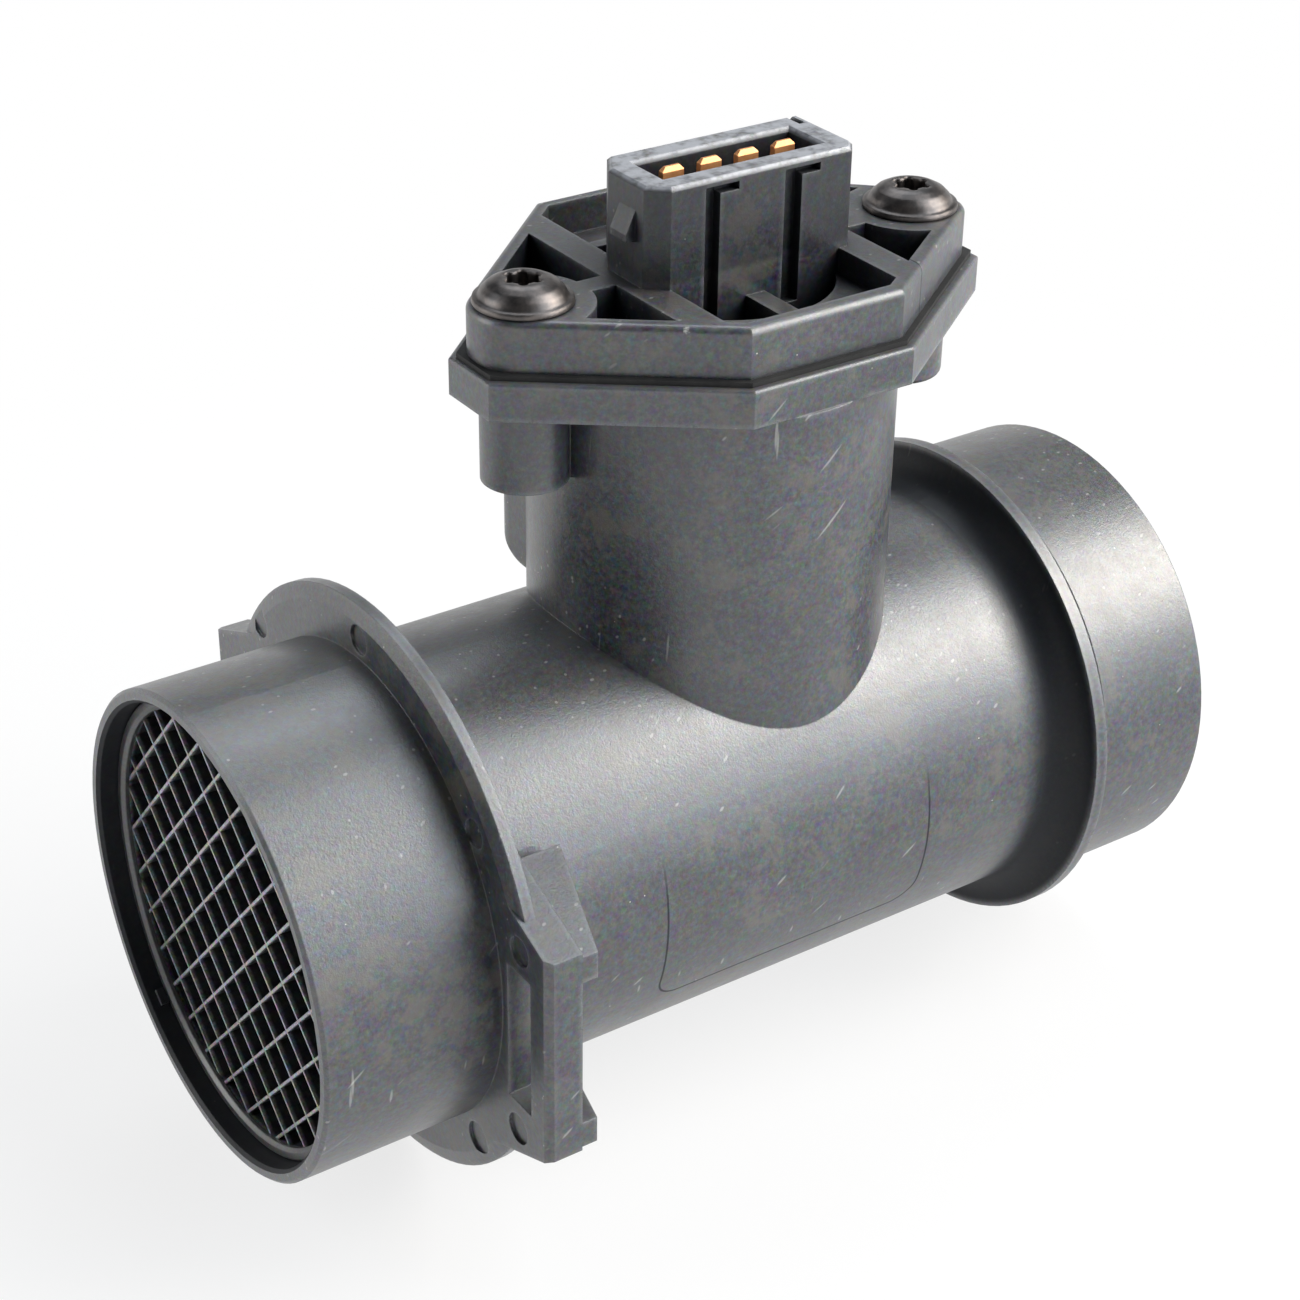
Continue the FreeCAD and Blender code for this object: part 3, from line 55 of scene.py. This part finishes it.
# %% A wire
class Wire:
    def __init__(self, graph, socket):
        self.graph = graph
        self.socket = socket

    @property
    def wide(self):
        return self.socket.type in ("RGBA", "VECTOR")

    def _join(self, operation, left, right):
        wide = any(isinstance(k, Wire) and k.wide for k in (left, right))
        kind = "ShaderNodeVectorMath" if wide else "ShaderNodeMath"
        if wide:
            left, right = [k if isinstance(k, (Wire, tuple)) else (k, k, k) for k in (left, right)]
        return self.graph.node(kind, {0: left, 1: right}, operation=operation)

    def __add__(self, other):
        return self._join("ADD", self, other)

    __radd__ = __add__

    def __sub__(self, other):
        return self._join("SUBTRACT", self, other)

    def __rsub__(self, other):
        return self._join("SUBTRACT", other, self)

    def __mul__(self, other):
        return self._join("MULTIPLY", self, other)

    __rmul__ = __mul__

    def __truediv__(self, other):
        return self._join("DIVIDE", self, other)


print("a wire adds, subtracts, multiplies and divides")

# %% [markdown]
# ## The graph
# Every other node comes from one method, which takes the node's type, its settings and what goes
# into its sockets. The rest are the few nodes that this object's finishes use again and again.
# All patterns are drawn in millimetres of the object's own frame, so a scratch is as long on the
# duct as it is on the cover.

# %% A graph of nodes
MM = 0.001


class Graph:
    def __init__(self, name):
        self.material = bpy.data.materials.new(name)
        self.material.use_nodes = True
        self.tree = self.material.node_tree
        self.tree.nodes.clear()

    def node(self, kind, inputs=None, output=0, **settings):
        """Add any node, feed its inputs by name or number, and return one output as a Wire."""
        made = self.tree.nodes.new(kind)
        for key, value in settings.items():
            setattr(made, key, value)
        for key, value in (inputs or {}).items():
            if isinstance(value, Wire):
                self.tree.links.new(value.socket, made.inputs[key])
            else:
                made.inputs[key].default_value = value
        return Wire(self, made.outputs[output]) if made.outputs else None

    def maths(self, operation, *values):
        """A Math node that Python has no sign for."""
        return self.node("ShaderNodeMath", dict(enumerate(values)), operation=operation)

    def measure(self, operation, a, b):
        """One number from two vectors."""
        return self.node("ShaderNodeVectorMath", {0: a, 1: b}, output="Value", operation=operation)

    def most(self, *values):
        """The largest of several wires; None stands for nothing there."""
        kept = [k for k in values if k is not None]
        total = kept[0]
        for value in kept[1:]:
            total = self.maths("MAXIMUM", total, value)
        return total

    def parts(self, vector):
        """The X, Y and Z of a vector."""
        return [self.node("ShaderNodeSeparateXYZ", {0: vector}, output=k) for k in range(3)]

    def place(self):
        """The point being shaded, in millimetres of the object's own frame."""
        return self.node("ShaderNodeTexCoord", output="Object") * (1.0 / MM)

    def facing(self):
        """The way that the surface faces."""
        return self.node("ShaderNodeNewGeometry", output="Normal")

    def noise(self, at, scale, detail=3.0, rough=0.5, output=0):
        return self.node(
            "ShaderNodeTexNoise",
            {"Vector": at, "Scale": scale, "Detail": detail, "Roughness": rough},
            output=output)

    def band(self, value, start, end):
        """0 before start, 1 after end, smooth between."""
        return self.node(
            "ShaderNodeMapRange",
            {"Value": value, "From Min": start, "From Max": end, "To Min": 0.0, "To Max": 1.0},
            interpolation_type="SMOOTHSTEP", clamp=True)

    def mix(self, factor, a, b):
        colours = [k if isinstance(k, Wire) else (*k, 1.0) for k in (a, b)]
        return self.node(
            "ShaderNodeMix", {0: factor, 6: colours[0], 7: colours[1]},
            output=2, data_type="RGBA")


def times(tone, factor):
    return tuple(min(1.0, k * factor) for k in tone)


print("a graph draws its patterns in steps of", MM, "m")

# %% [markdown]
# ## Dust and scratches
# A used plastic part is never clean. Voronoi cells scatter both kinds of mark: a dot in the
# middle of a few cells is a speck of dust, and the same dots in coordinates that are squeezed
# along one axis become long thin scratches. Several families are turned different ways, so that
# the scratches cross as they do on a part that has rolled about in a drawer.


# %% Scattered marks
def sparks(g, at, scale, size, share):
    """Sparse dots: cells of the given scale, a share of them kept, each with a dot of size."""
    away = g.node("ShaderNodeTexVoronoi", {"Vector": at, "Scale": scale}, output="Distance")
    tint = Wire(g, away.socket.node.outputs["Color"])
    pick = g.node("ShaderNodeSeparateColor", {0: tint})
    kept = g.band(pick, 1.0 - share, 1.0 - share + 0.01)
    return (1.0 - g.band(away, size * 0.5, size)) * kept


SQUEEZE = (0.035, 0.55, 0.55)
SCRATCH_SIZE = 0.12


def scratches(g, at, count, share):
    """A few families of long thin marks, each family turned its own way."""
    total = None
    for k in range(count):
        angles = (25.0 + 67.0 * k, 40.0 + 51.0 * k, 13.0 + 83.0 * k)
        spun = g.node(
            "ShaderNodeVectorRotate",
            {"Vector": at, "Rotation": tuple(math.radians(a) for a in angles)},
            rotation_type="EULER_XYZ")
        family = sparks(g, spun * SQUEEZE, 1.0, SCRATCH_SIZE, share)
        total = family if total is None else total + family
    return total


print("scratches are", round(SQUEEZE[1] / SQUEEZE[0]), "times as long as wide")

# %% [markdown]
# ## Edges, hollows and painted shade
# Edges of the moulding are painted paler, partly as rubbed wear and partly as a painted highlight,
# and its hollows are painted dark as painted shade. Ambient Occlusion finds both. Turned inside the
# solid it is dark where the wall is thin, which is at an edge, and turned outside it is dark where
# the sky is hidden. The painted shade is a second, duller shader mixed over the first, so that a
# hollow loses its gloss along with its colour. The same dark shader also draws dark moulded lines.

# %% Where the sky is hidden
# Nearly black: the colour of painted shade in hollows and of dark moulded lines.
SHADE_AND_LINE_DARK = (0.008, 0.009, 0.012)


def open_sky(g, distance, samples, inside=False):
    return g.node("ShaderNodeAmbientOcclusion", {"Distance": distance}, output="AO",
                  samples=samples, inside=inside)


def surface(g, shade_and_line_mask=None, **sockets):
    """Principled surface to the output, covered with a dull dark shader for painted shade and dark
    lines.
    """
    names = {k.replace("_", " ").title().replace("Ior", "IOR"): v for k, v in sockets.items()}
    shader = g.node("ShaderNodeBsdfPrincipled", names)
    if shade_and_line_mask is not None:
        shade_and_line_shader = g.node("ShaderNodeBsdfPrincipled", {
            "Base Color": (*SHADE_AND_LINE_DARK, 1.0), "Roughness": 0.7, "IOR": 1.3})
        shader = g.node("ShaderNodeMixShader", {0: shade_and_line_mask, 1: shader, 2: shade_and_line_shader})
    g.node("ShaderNodeOutputMaterial", {"Surface": shader})
    return g.material


print("soot is", SHADE_AND_LINE_DARK)

# %% [markdown]
# ## Moulded plastic
# The duct and the cover are glass-filled nylon: dark grey, satin, with a fine grain that sparkles
# a little, cloudy darker and lighter patches, a film of dust on what faces up and faint brown
# stains. One recipe serves every moulding, because they all come from the same few effects in
# other amounts. The patterns come first, since colour, gloss and bump all share them.


# %% Patterns of a moulding
def patterns(g, at, worn):
    return SimpleNamespace(
        grain=g.noise(at, 2.2, 3.0, 0.75),
        cloud=g.noise(at, 0.085, 3.0, 0.6),
        blotch=g.noise(at, 0.35, 3.0, 0.6),
        speckle=g.noise(at, 4.5, 2.0, 0.6),
        tint=g.noise(at, 1.4, 1.0, 0.7, output="Color"),
        marks=scratches(g, at, 3, 0.34 * worn),
        dust=sparks(g, at, 0.55, 0.06, 0.16 * worn))


print("seven patterns to a moulding")

# %% [markdown]
# The colour is built up in layers, as a painter would: clouds, grain, the dust film, stains,
# paler edges that are partly rubbed wear and partly a painted highlight, scratches and last the
# specks that lie on top of everything.

# %% Colour of a moulding
DUST_FILM = (0.17, 0.16, 0.145)
SCRATCHED = (0.42, 0.42, 0.40)
SPECK = (0.7, 0.68, 0.64)


def moulded_colour(g, p, tone, pale_edge, worn, dusty):
    base = g.mix(g.band(p.cloud, 0.3, 0.75), times(tone, 0.84), times(tone, 1.25))
    base = base * (p.grain * 2.4 + p.speckle * 1.4 - 0.9) * (p.tint * 3.2 - 0.6)
    turned_up = g.band(g.parts(g.facing())[2], 0.35, 0.95)
    base = g.mix(turned_up * (dusty * worn), base, DUST_FILM)
    stain = g.band(p.cloud * 0.5 + p.blotch * 0.5, 0.50, 0.64) * (0.6 * worn)
    base = g.mix(stain, base, (tone[0] * 2.7, tone[1] * 2.1, tone[2] * 1.3))
    # Paler edges: partly rubbed wear, partly a painted highlight.
    base = g.mix(pale_edge * (0.70 * worn), base, tuple(0.20 + k * 1.6 for k in tone))
    base = g.mix(p.marks * 0.45, base, SCRATCHED)
    return g.mix(p.dust * 0.8, base, SPECK)


print("dust film", DUST_FILM, "scratches", SCRATCHED, "specks", SPECK)

# %% [markdown]
# The recipe joins the colour with a roughness that varies from place to place and a bump for the
# grain. A Bevel node bends the shading at sharp edges, so that they catch a thin line of light as
# moulded edges do. A piece may pass its own touches in as extra, and a nook is how far from a wall
# its painted shade reaches.

# %% The plastic recipe
EDGE_REACH = 0.7 * MM
EDGE_SOFTNESS = 0.25 * MM
GRAIN_DEPTH = 0.08 * MM
PLASTIC_IOR = 1.9


def plastic(name, tone, worn=1.0, gloss=0.355, dusty=0.4, extra=None, nook=None):
    g = Graph(name)
    at = g.place()
    p = patterns(g, at, worn)
    inner_sky = open_sky(g, EDGE_REACH, 1, inside=True)
    # Edges painted paler: partly rubbed wear, partly a painted highlight where an edge catches light.
    pale_edge = g.band(1.0 - inner_sky + (p.grain - 0.5) * 0.5, 0.24, 0.62)
    base = moulded_colour(g, p, tone, pale_edge, worn, dusty)
    rough = gloss + (p.blotch - 0.5) * 0.18 + (p.grain - 0.5) * 0.25 - pale_edge * 0.05
    height = p.grain * 0.6 + p.speckle * 0.4
    shade_and_line_mask = None
    # Painted shade: hollows that Ambient Occlusion finds go dark.
    if nook:
        shade_and_line_mask = (1.0 - g.band(open_sky(g, nook * MM, 1), 0.30, 0.95)) * 0.95
    if extra:
        base, height, shade_and_line_mask = extra(g, at, base, height, shade_and_line_mask)
    soft = g.node("ShaderNodeBevel", {"Radius": EDGE_SOFTNESS}, samples=1)
    bump = g.node("ShaderNodeBump", {
        "Strength": 0.6, "Distance": GRAIN_DEPTH, "Height": height, "Normal": soft})
    return surface(g, shade_and_line_mask=shade_and_line_mask, base_color=base, roughness=rough, normal=bump, ior=PLASTIC_IOR)


print("plastic bends its edges over", EDGE_SOFTNESS / MM, "mm")

# %% [markdown]
# ## The duct's own touches
# On the front of the tube a thin moulded line frames a smooth field. It is far too fine to be
# worth a solid, so it is drawn: the tube's wall is unrolled to a flat sheet, and the line lies
# where the distance to a rectangle with round corners is nearly nothing. Towards its upper edge it
# fades into the curve of the wall.

# %% The line round the field
TUBE_RADIUS = 26.8
FIELD_MIDDLE = (63.7, -0.4)
FIELD_HALF = (18.9, 11.8)
FIELD_CORNER = 3.5


def field_line(g, at):
    x, y, z = g.parts(at)
    arc = g.maths("ARCTAN2", z, y * -1.0) * TUBE_RADIUS
    beyond = []
    for place, middle, half in zip((x, arc), FIELD_MIDDLE, FIELD_HALF):
        away = g.maths("ABSOLUTE", place - middle)
        beyond.append(g.maths("MAXIMUM", away - (half - FIELD_CORNER), 0.0))
    reach = g.maths("POWER", beyond[0] * beyond[0] + beyond[1] * beyond[1], 0.5)
    off = g.maths("ABSOLUTE", reach - FIELD_CORNER)
    front = g.band(y * -1.0, 5.0, 6.0)
    fading = 1.0 - g.band(arc, 2.0, 10.5)
    return (1.0 - g.band(off, 0.07, 0.2)) * front * fading


print("the field is", 2 * FIELD_HALF[0], "by", 2 * FIELD_HALF[1], "mm")

# %% [markdown]
# The bore of the duct is painted dark all along as painted shade, and so is the hollow in front of
# the outlet ring. Both are told apart by plain geometry: a bore faces the axis, and the hollow lies
# between two distances along it. The thin line round the field joins them as a dark moulded line.


# %% Painted shade of the duct
def duct_touches(g, at, base, height, shade_and_line_mask):
    x, y, z = g.parts(at)
    reach = g.maths("POWER", y * y + z * z, 0.5)
    radial = g.node("ShaderNodeCombineXYZ", {1: y / reach, 2: z / reach})
    outward = g.measure("DOT_PRODUCT", g.facing(), radial)
    # Painted shade: the bore and the hollow before the outlet ring go dark.
    bore = g.band(outward * -1.0, 0.1, 0.5) * (1.0 - g.band(reach, 28.0, 28.3))
    before_ring = g.band(x, 97.0, 101.8) * (1.0 - g.band(x, 104.85, 104.95))
    hollow = before_ring * g.band(reach, 26.5, 26.7) * (1.0 - g.band(reach, 31.0, 31.5))
    line = field_line(g, at)
    return base, height, g.most(bore * 0.85, hollow * 0.9, line * 0.75, shade_and_line_mask)


DUCT_TONE = (0.037, 0.042, 0.052)
looks = {"housing_plastic": plastic("housing_plastic", DUCT_TONE, dusty=0.28, extra=duct_touches)}
print("duct tone", DUCT_TONE)

# %% [markdown]
# ## The cover's own touches
# The cover has a knit line where two flows of plastic met, a bright nick in its front edge and a
# socket shroud whose rim is painted pale in patches, partly as wear and partly as a painted
# highlight on its top. The walls of the shroud are painted darker than the rest, as painted shade.
# Pockets between the ribs are deep in painted shade, for which the nook is wide.

# %% Knit line, nick and rim
SEAM = 85.5
NICK = (53.6, -15.3, 66.7)
RIM = 78.4
PALE_RIM = (0.33, 0.34, 0.37)
CHIPPED = (0.5, 0.5, 0.48)


def cover_touches(g, at, base, height, shade_and_line_mask):
    x, y, z = g.parts(at)
    seam = (1.0 - g.band(g.maths("ABSOLUTE", x - SEAM), 0.04, 0.12)) * (1.0 - g.band(y, -11.5, -11.0))
    away = g.measure("DISTANCE", at, NICK)
    nick = 1.0 - g.band(away + (g.noise(at, 3.0) - 0.5) * 0.8, 0.35, 0.6)
    rim = g.band(z, RIM - 0.5, RIM - 0.1)
    # The rim's top is painted pale in patches: partly wear, partly a painted highlight.
    base = g.mix(rim * g.band(g.noise(at, 0.9), 0.2, 0.6), base, PALE_RIM)
    base = g.mix(nick, base, CHIPPED)
    # Painted shade: the shroud's walls below the rim go dark.
    wall = g.band(z, 67.0, 68.0) * (1.0 - rim)
    return base, height - seam, g.most(seam * 0.8, wall * 0.5, shade_and_line_mask)


COVER_TONE = (0.034, 0.038, 0.047)
# The wide nook carries painted shade deep into the pockets between the ribs.
looks["cover_plastic"] = plastic("cover_plastic", COVER_TONE, dusty=0.2, extra=cover_touches, nook=7.0)
print("cover tone", COVER_TONE)

# %% [markdown]
# ## The grid and the small mouldings
# The flow grid's webs catch the light on their front edges alone, so the grid gets a pale tone as a
# painted highlight. Behind them the cells fall off into the dark, so painted shade starts just behind
# the front. The ring that holds the grid, the stem and the chips are plain mouldings and need no
# touches of their own.

# %% Grid, ring, stem and chips
GRID_FRONT = 3.4


def grid_touches(g, at, base, height, shade_and_line_mask):
    # Painted shade: the webs go dark behind their front edges.
    deep = g.band(g.parts(at)[0], GRID_FRONT + 0.05, GRID_FRONT + 0.6)
    return base, height, deep * 0.9


# The grid's pale tone is a painted highlight for the lit front edges of its webs.
looks["grid_plastic"] = plastic(
    "grid_plastic", (0.25, 0.25, 0.27), worn=0.3, gloss=0.35, extra=grid_touches)
looks["ring_plastic"] = plastic("ring_plastic", (0.035, 0.036, 0.04), worn=0.5, gloss=0.4)
looks["stem_plastic"] = plastic("stem_plastic", (0.05, 0.05, 0.055), worn=0.1)
looks["chip_plastic"] = plastic("chip_plastic", (0.02, 0.02, 0.022), worn=0.0, gloss=0.5)
print("plastics", sorted(looks))

# %% [markdown]
# ## Rubber
# The flat gasket shows as a dark line under the cover, and the sealing ring sits on the stem.
# Rubber is nearly black, rough and slightly bloomed with pale wax.


# %% Gasket and sealing ring
def rubber(name, tone):
    g = Graph(name)
    at = g.place()
    grain = g.noise(at, 3.0, 3.0, 0.6)
    bloom = g.noise(at, 0.3, 4.0, 0.6)
    base = g.mix(g.band(bloom, 0.4, 0.8), (tone, tone, tone), (tone * 2.2, tone * 2.1, tone * 2.0))
    bump = g.node("ShaderNodeBump", {"Strength": 0.4, "Distance": 0.04 * MM, "Height": grain})
    return surface(g, base_color=base, roughness=0.6 + grain * 0.2, normal=bump)


looks["gasket_rubber"] = rubber("gasket_rubber", 0.012)
looks["seal_rubber"] = rubber("seal_rubber", 0.015)
print("rubbers added, now", len(looks), "finishes")

# %% [markdown]
# ## Metal
# Metals share a recipe too: fine lines from rolling or turning in the bump, patches of another
# shade, and edges worn bright. The screws are dark passivated steel with a soft dome, so their
# edges bend over a wide radius. The copper blades have a dull skin, which is why they aren't
# wholly metallic and still look orange inside the dark socket.


# %% The metal recipe
def metal(name, tone, shade, rough, stretch=(0.4, 0.4, 6.0), soften=0.12, bare=1.0):
    g = Graph(name)
    at = g.place()
    lines = g.noise(at * stretch, 1.5, 4.0, 0.6)
    patch = g.noise(at, 0.8, 4.0, 0.6)
    marks = scratches(g, at * 3.0, 2, 0.3)
    base = g.mix(g.band(patch, 0.35, 0.7), tone, shade) * (0.85 + lines * 0.3)
    pale_edge = g.band(1.0 - open_sky(g, 0.2 * MM, 6, inside=True), 0.5, 0.8)
    base = g.mix(pale_edge * 0.4, base, times(tone, 1.6))
    soft = g.node("ShaderNodeBevel", {"Radius": soften * MM}, samples=6)
    bump = g.node("ShaderNodeBump", {
        "Strength": 0.25, "Distance": 0.02 * MM, "Height": lines + marks, "Normal": soft})
    return surface(g, base_color=base, metallic=bare, normal=bump,
                   roughness=rough + (patch - 0.5) * 0.15 + marks * 0.1)


print("the metal recipe is ready")

# %% Blades, screws, inserts and carrier
looks["terminal_metal"] = metal(
    "terminal_metal", (0.83, 0.34, 0.13), (0.93, 0.45, 0.19), 0.32, bare=0.6)
looks["screw_steel"] = metal(
    "screw_steel", (0.105, 0.098, 0.096), (0.17, 0.15, 0.14), 0.38,
    stretch=(1.0, 1.0, 1.0), soften=0.55)
looks["insert_brass"] = metal("insert_brass", (0.72, 0.53, 0.24), (0.78, 0.6, 0.3), 0.3)
looks["carrier_metal"] = metal("carrier_metal", (0.7, 0.7, 0.72), (0.62, 0.62, 0.65), 0.35)
print("metals added, now", len(looks), "finishes")

# %% [markdown]
# ## Board and ceramics
# The circuit board, its capacitors and the two sensing elements are out of sight in the head and
# the stem, but a view into the part would meet them. They are lacquered or glazed: a faint weave
# under a smooth skin.


# %% Lacquer and glaze
def lacquer(name, tone, shade, rough):
    g = Graph(name)
    weave = g.noise(g.place() * 2.0, 2.0, 2.0)
    base = g.mix(g.band(weave, 0.3, 0.7), tone, shade)
    bump = g.node("ShaderNodeBump", {"Strength": 0.2, "Distance": 0.03 * MM, "Height": weave})
    return surface(g, base_color=base, roughness=rough + weave * 0.1, normal=bump)


looks["board_laminate"] = lacquer("board_laminate", (0.03, 0.16, 0.06), (0.04, 0.2, 0.08), 0.3)
looks["capacitor_ceramic"] = lacquer("capacitor_ceramic", (0.35, 0.22, 0.12), (0.4, 0.27, 0.16), 0.4)
looks["element_ceramic"] = lacquer("element_ceramic", (0.75, 0.74, 0.7), (0.85, 0.84, 0.8), 0.25)
print("finishes", sorted(looks))

# %% [markdown]
# ## Dress the nodes
# The record names a material slot for every node, so the finishes find their pieces by that name.

# %% Hand out the finishes
slots = {part["node"]: part["material_slot"] for part in frame["record"]["subparts"]}
for name, piece in nodes.items():
    piece.data.materials.clear()
    piece.data.materials.append(looks[slots[name]])
print("coloured", len(nodes), "nodes with", len(looks), "materials")

# %% [markdown]
# ## Floor and backdrop
# The photograph has a white background. More light would bleach the part, so the paper does it:
# where the camera sees it, or a shiny surface mirrors it, the paper glows at a strength of one.
# All other light meets plain pale paper. Close to the part some of that paper shows through the
# glow, and with it the part's soft shadow. A low round wall closes the studio for lower views.

# %% Studio paper
CENTRE = (0.06, 0.0, 0.01)
PAPER = (0.92, 0.92, 0.92)
SHADOW = 0.22
SHADOW_REACH = (60.0, 260.0)


def studio_paper(name):
    g = Graph(name)
    at = g.place()
    base = g.mix(g.noise(at, 0.4, 3.0, 0.6), times(PAPER, 0.97), PAPER)
    matt = g.node("ShaderNodeBsdfPrincipled", {"Base Color": base, "Roughness": 0.8})
    glow = g.node("ShaderNodeEmission", {"Color": (1.0, 1.0, 1.0, 1.0), "Strength": 1.0})
    rays = g.node("ShaderNodeLightPath").socket.node.outputs
    seen = g.most(*[Wire(g, rays["Is %s Ray" % k]) for k in ("Camera", "Glossy", "Transmission")])
    away = g.measure("DISTANCE", at, tuple(k / MM for k in CENTRE))
    near = 1.0 - g.band(away, *SHADOW_REACH)
    joined = g.node("ShaderNodeMixShader", {0: seen * (1.0 - near * SHADOW), 1: matt, 2: glow})
    g.node("ShaderNodeOutputMaterial", {"Surface": joined})
    return g.material


# %% Floor and wall
STUDIO_RADIUS = 3.0
WALL_HEIGHT = 1.0
WALL_SIDES = 48
FLOOR_DROP = 0.0005


def set_piece(name, corners, faces, material):
    mesh = bpy.data.meshes.new(name)
    mesh.from_pydata(corners, [], faces)
    mesh.materials.append(material)
    made = bpy.data.objects.new(name, mesh)
    bpy.context.collection.objects.link(made)
    return made


ground = low[2] - FLOOR_DROP
paper = studio_paper("floor_paper")
turns = [math.tau * k / WALL_SIDES for k in range(WALL_SIDES)]
rim = [(STUDIO_RADIUS * math.cos(turn), STUDIO_RADIUS * math.sin(turn)) for turn in turns]
set_piece("floor", [(x, y, ground) for x, y in rim], [tuple(range(WALL_SIDES))], paper)
wall = [(x, y, ground + rise) for rise in (0.0, WALL_HEIGHT) for x, y in rim]
wall_faces = [
    (k, (k + 1) % WALL_SIDES, WALL_SIDES + (k + 1) % WALL_SIDES, WALL_SIDES + k)
    for k in range(WALL_SIDES)]
set_piece("backdrop", wall, wall_faces, paper)
print("floor at", round(ground, 4), "with a wall of", WALL_SIDES, "sides")

# %% [markdown]
# The room itself is nearly dark, so that the left faces of the part stay as dark as in the
# photograph.

# %% The dim room
world = bpy.data.worlds.new("studio")
bpy.context.scene.world = world
world.use_nodes = True
room = world.node_tree.nodes["Background"]
room.inputs["Color"].default_value = (0.93, 0.96, 1.0, 1.0)
room.inputs["Strength"].default_value = 0.02
print("room light", room.inputs["Strength"].default_value)

# %% [markdown]
# ## Soft boxes
# Area lamps stand on a sphere round the part and look at its middle. A turn of 0 is straight in
# front, where -Y points, and grows to the right. The key light stands at the right, slightly warm,
# and draws the long bright band on the tube. The weak ones behind keep the far edges readable.

# %% Lamps
BOX_DISTANCE = 0.9
BOX_SIDE = 0.5
WARM = (1.0, 0.94, 0.86)
COOL = (0.88, 0.94, 1.0)


def soft_box(name, turn, climb, power, tint):
    turn, climb = math.radians(turn), math.radians(climb)
    away = Vector((math.sin(turn) * math.cos(climb), -math.cos(turn) * math.cos(climb),
                   math.sin(climb)))
    lamp = bpy.data.lights.new(name, "AREA")
    lamp.shape = "SQUARE"
    lamp.size = BOX_SIDE
    lamp.energy = power
    lamp.color = tint
    box = bpy.data.objects.new(name, lamp)
    bpy.context.collection.objects.link(box)
    box.location = Vector(CENTRE) + away * BOX_DISTANCE
    box.rotation_euler = (-away).to_track_quat("-Z", "Y").to_euler()


LAMPS = [
    ("key", 60, 32, 8.2, WARM),
    ("key_high", 60, 58, 3.2, COOL),
    ("front_high", 30, 32, 2.6, COOL),
    ("front_low", 30, 8, 1.5, COOL),
    ("behind_left", -120, 32, 2.0, COOL),
    ("behind_left_low", -120, 8, 1.8, WARM),
    ("behind_right", 150, 58, 2.4, COOL),
]
for lamp_row in LAMPS:
    soft_box(*lamp_row)
print(len(LAMPS), "soft boxes at", BOX_DISTANCE, "m")

# %% [markdown]
# ## Camera
# The place and the lens were worked out from the ellipses of the tube's ends and from the straight
# edges of the head in the photograph. The picture's frame is 1300 pixels wide, so the lens in
# millimetres is its length in pixels, scaled to the sensor.

# %% Where the photographer stood
TURN = math.radians(-34.724)
RAISE = math.radians(30.347)
ROLL = math.radians(0.951)
SPOT = Vector((-0.09730, -0.22725, 0.18001))
FRAME_PIXELS = 1300.0
LENS_PIXELS = 2689.883
SENSOR = 36.0

back = Vector((math.sin(TURN) * math.cos(RAISE), -math.cos(TURN) * math.cos(RAISE), math.sin(RAISE)))
right = Vector((0, 0, 1)).cross(back).normalized()
up = back.cross(right)
tilted_right = right * math.cos(ROLL) + up * math.sin(ROLL)
tilted_up = up * math.cos(ROLL) - right * math.sin(ROLL)
lens = bpy.data.cameras.new("camera")
lens.sensor_width = SENSOR
lens.lens = LENS_PIXELS / FRAME_PIXELS * SENSOR
lens.clip_start = 0.01
camera = bpy.data.objects.new("camera", lens)
bpy.context.collection.objects.link(camera)
turned = Matrix((tilted_right, tilted_up, back)).transposed().to_4x4()
camera.matrix_world = Matrix.Translation(SPOT) @ turned
bpy.context.scene.camera = camera
bpy.context.scene.view_settings.view_transform = "Standard"
print("lens", round(lens.lens, 2), "mm")
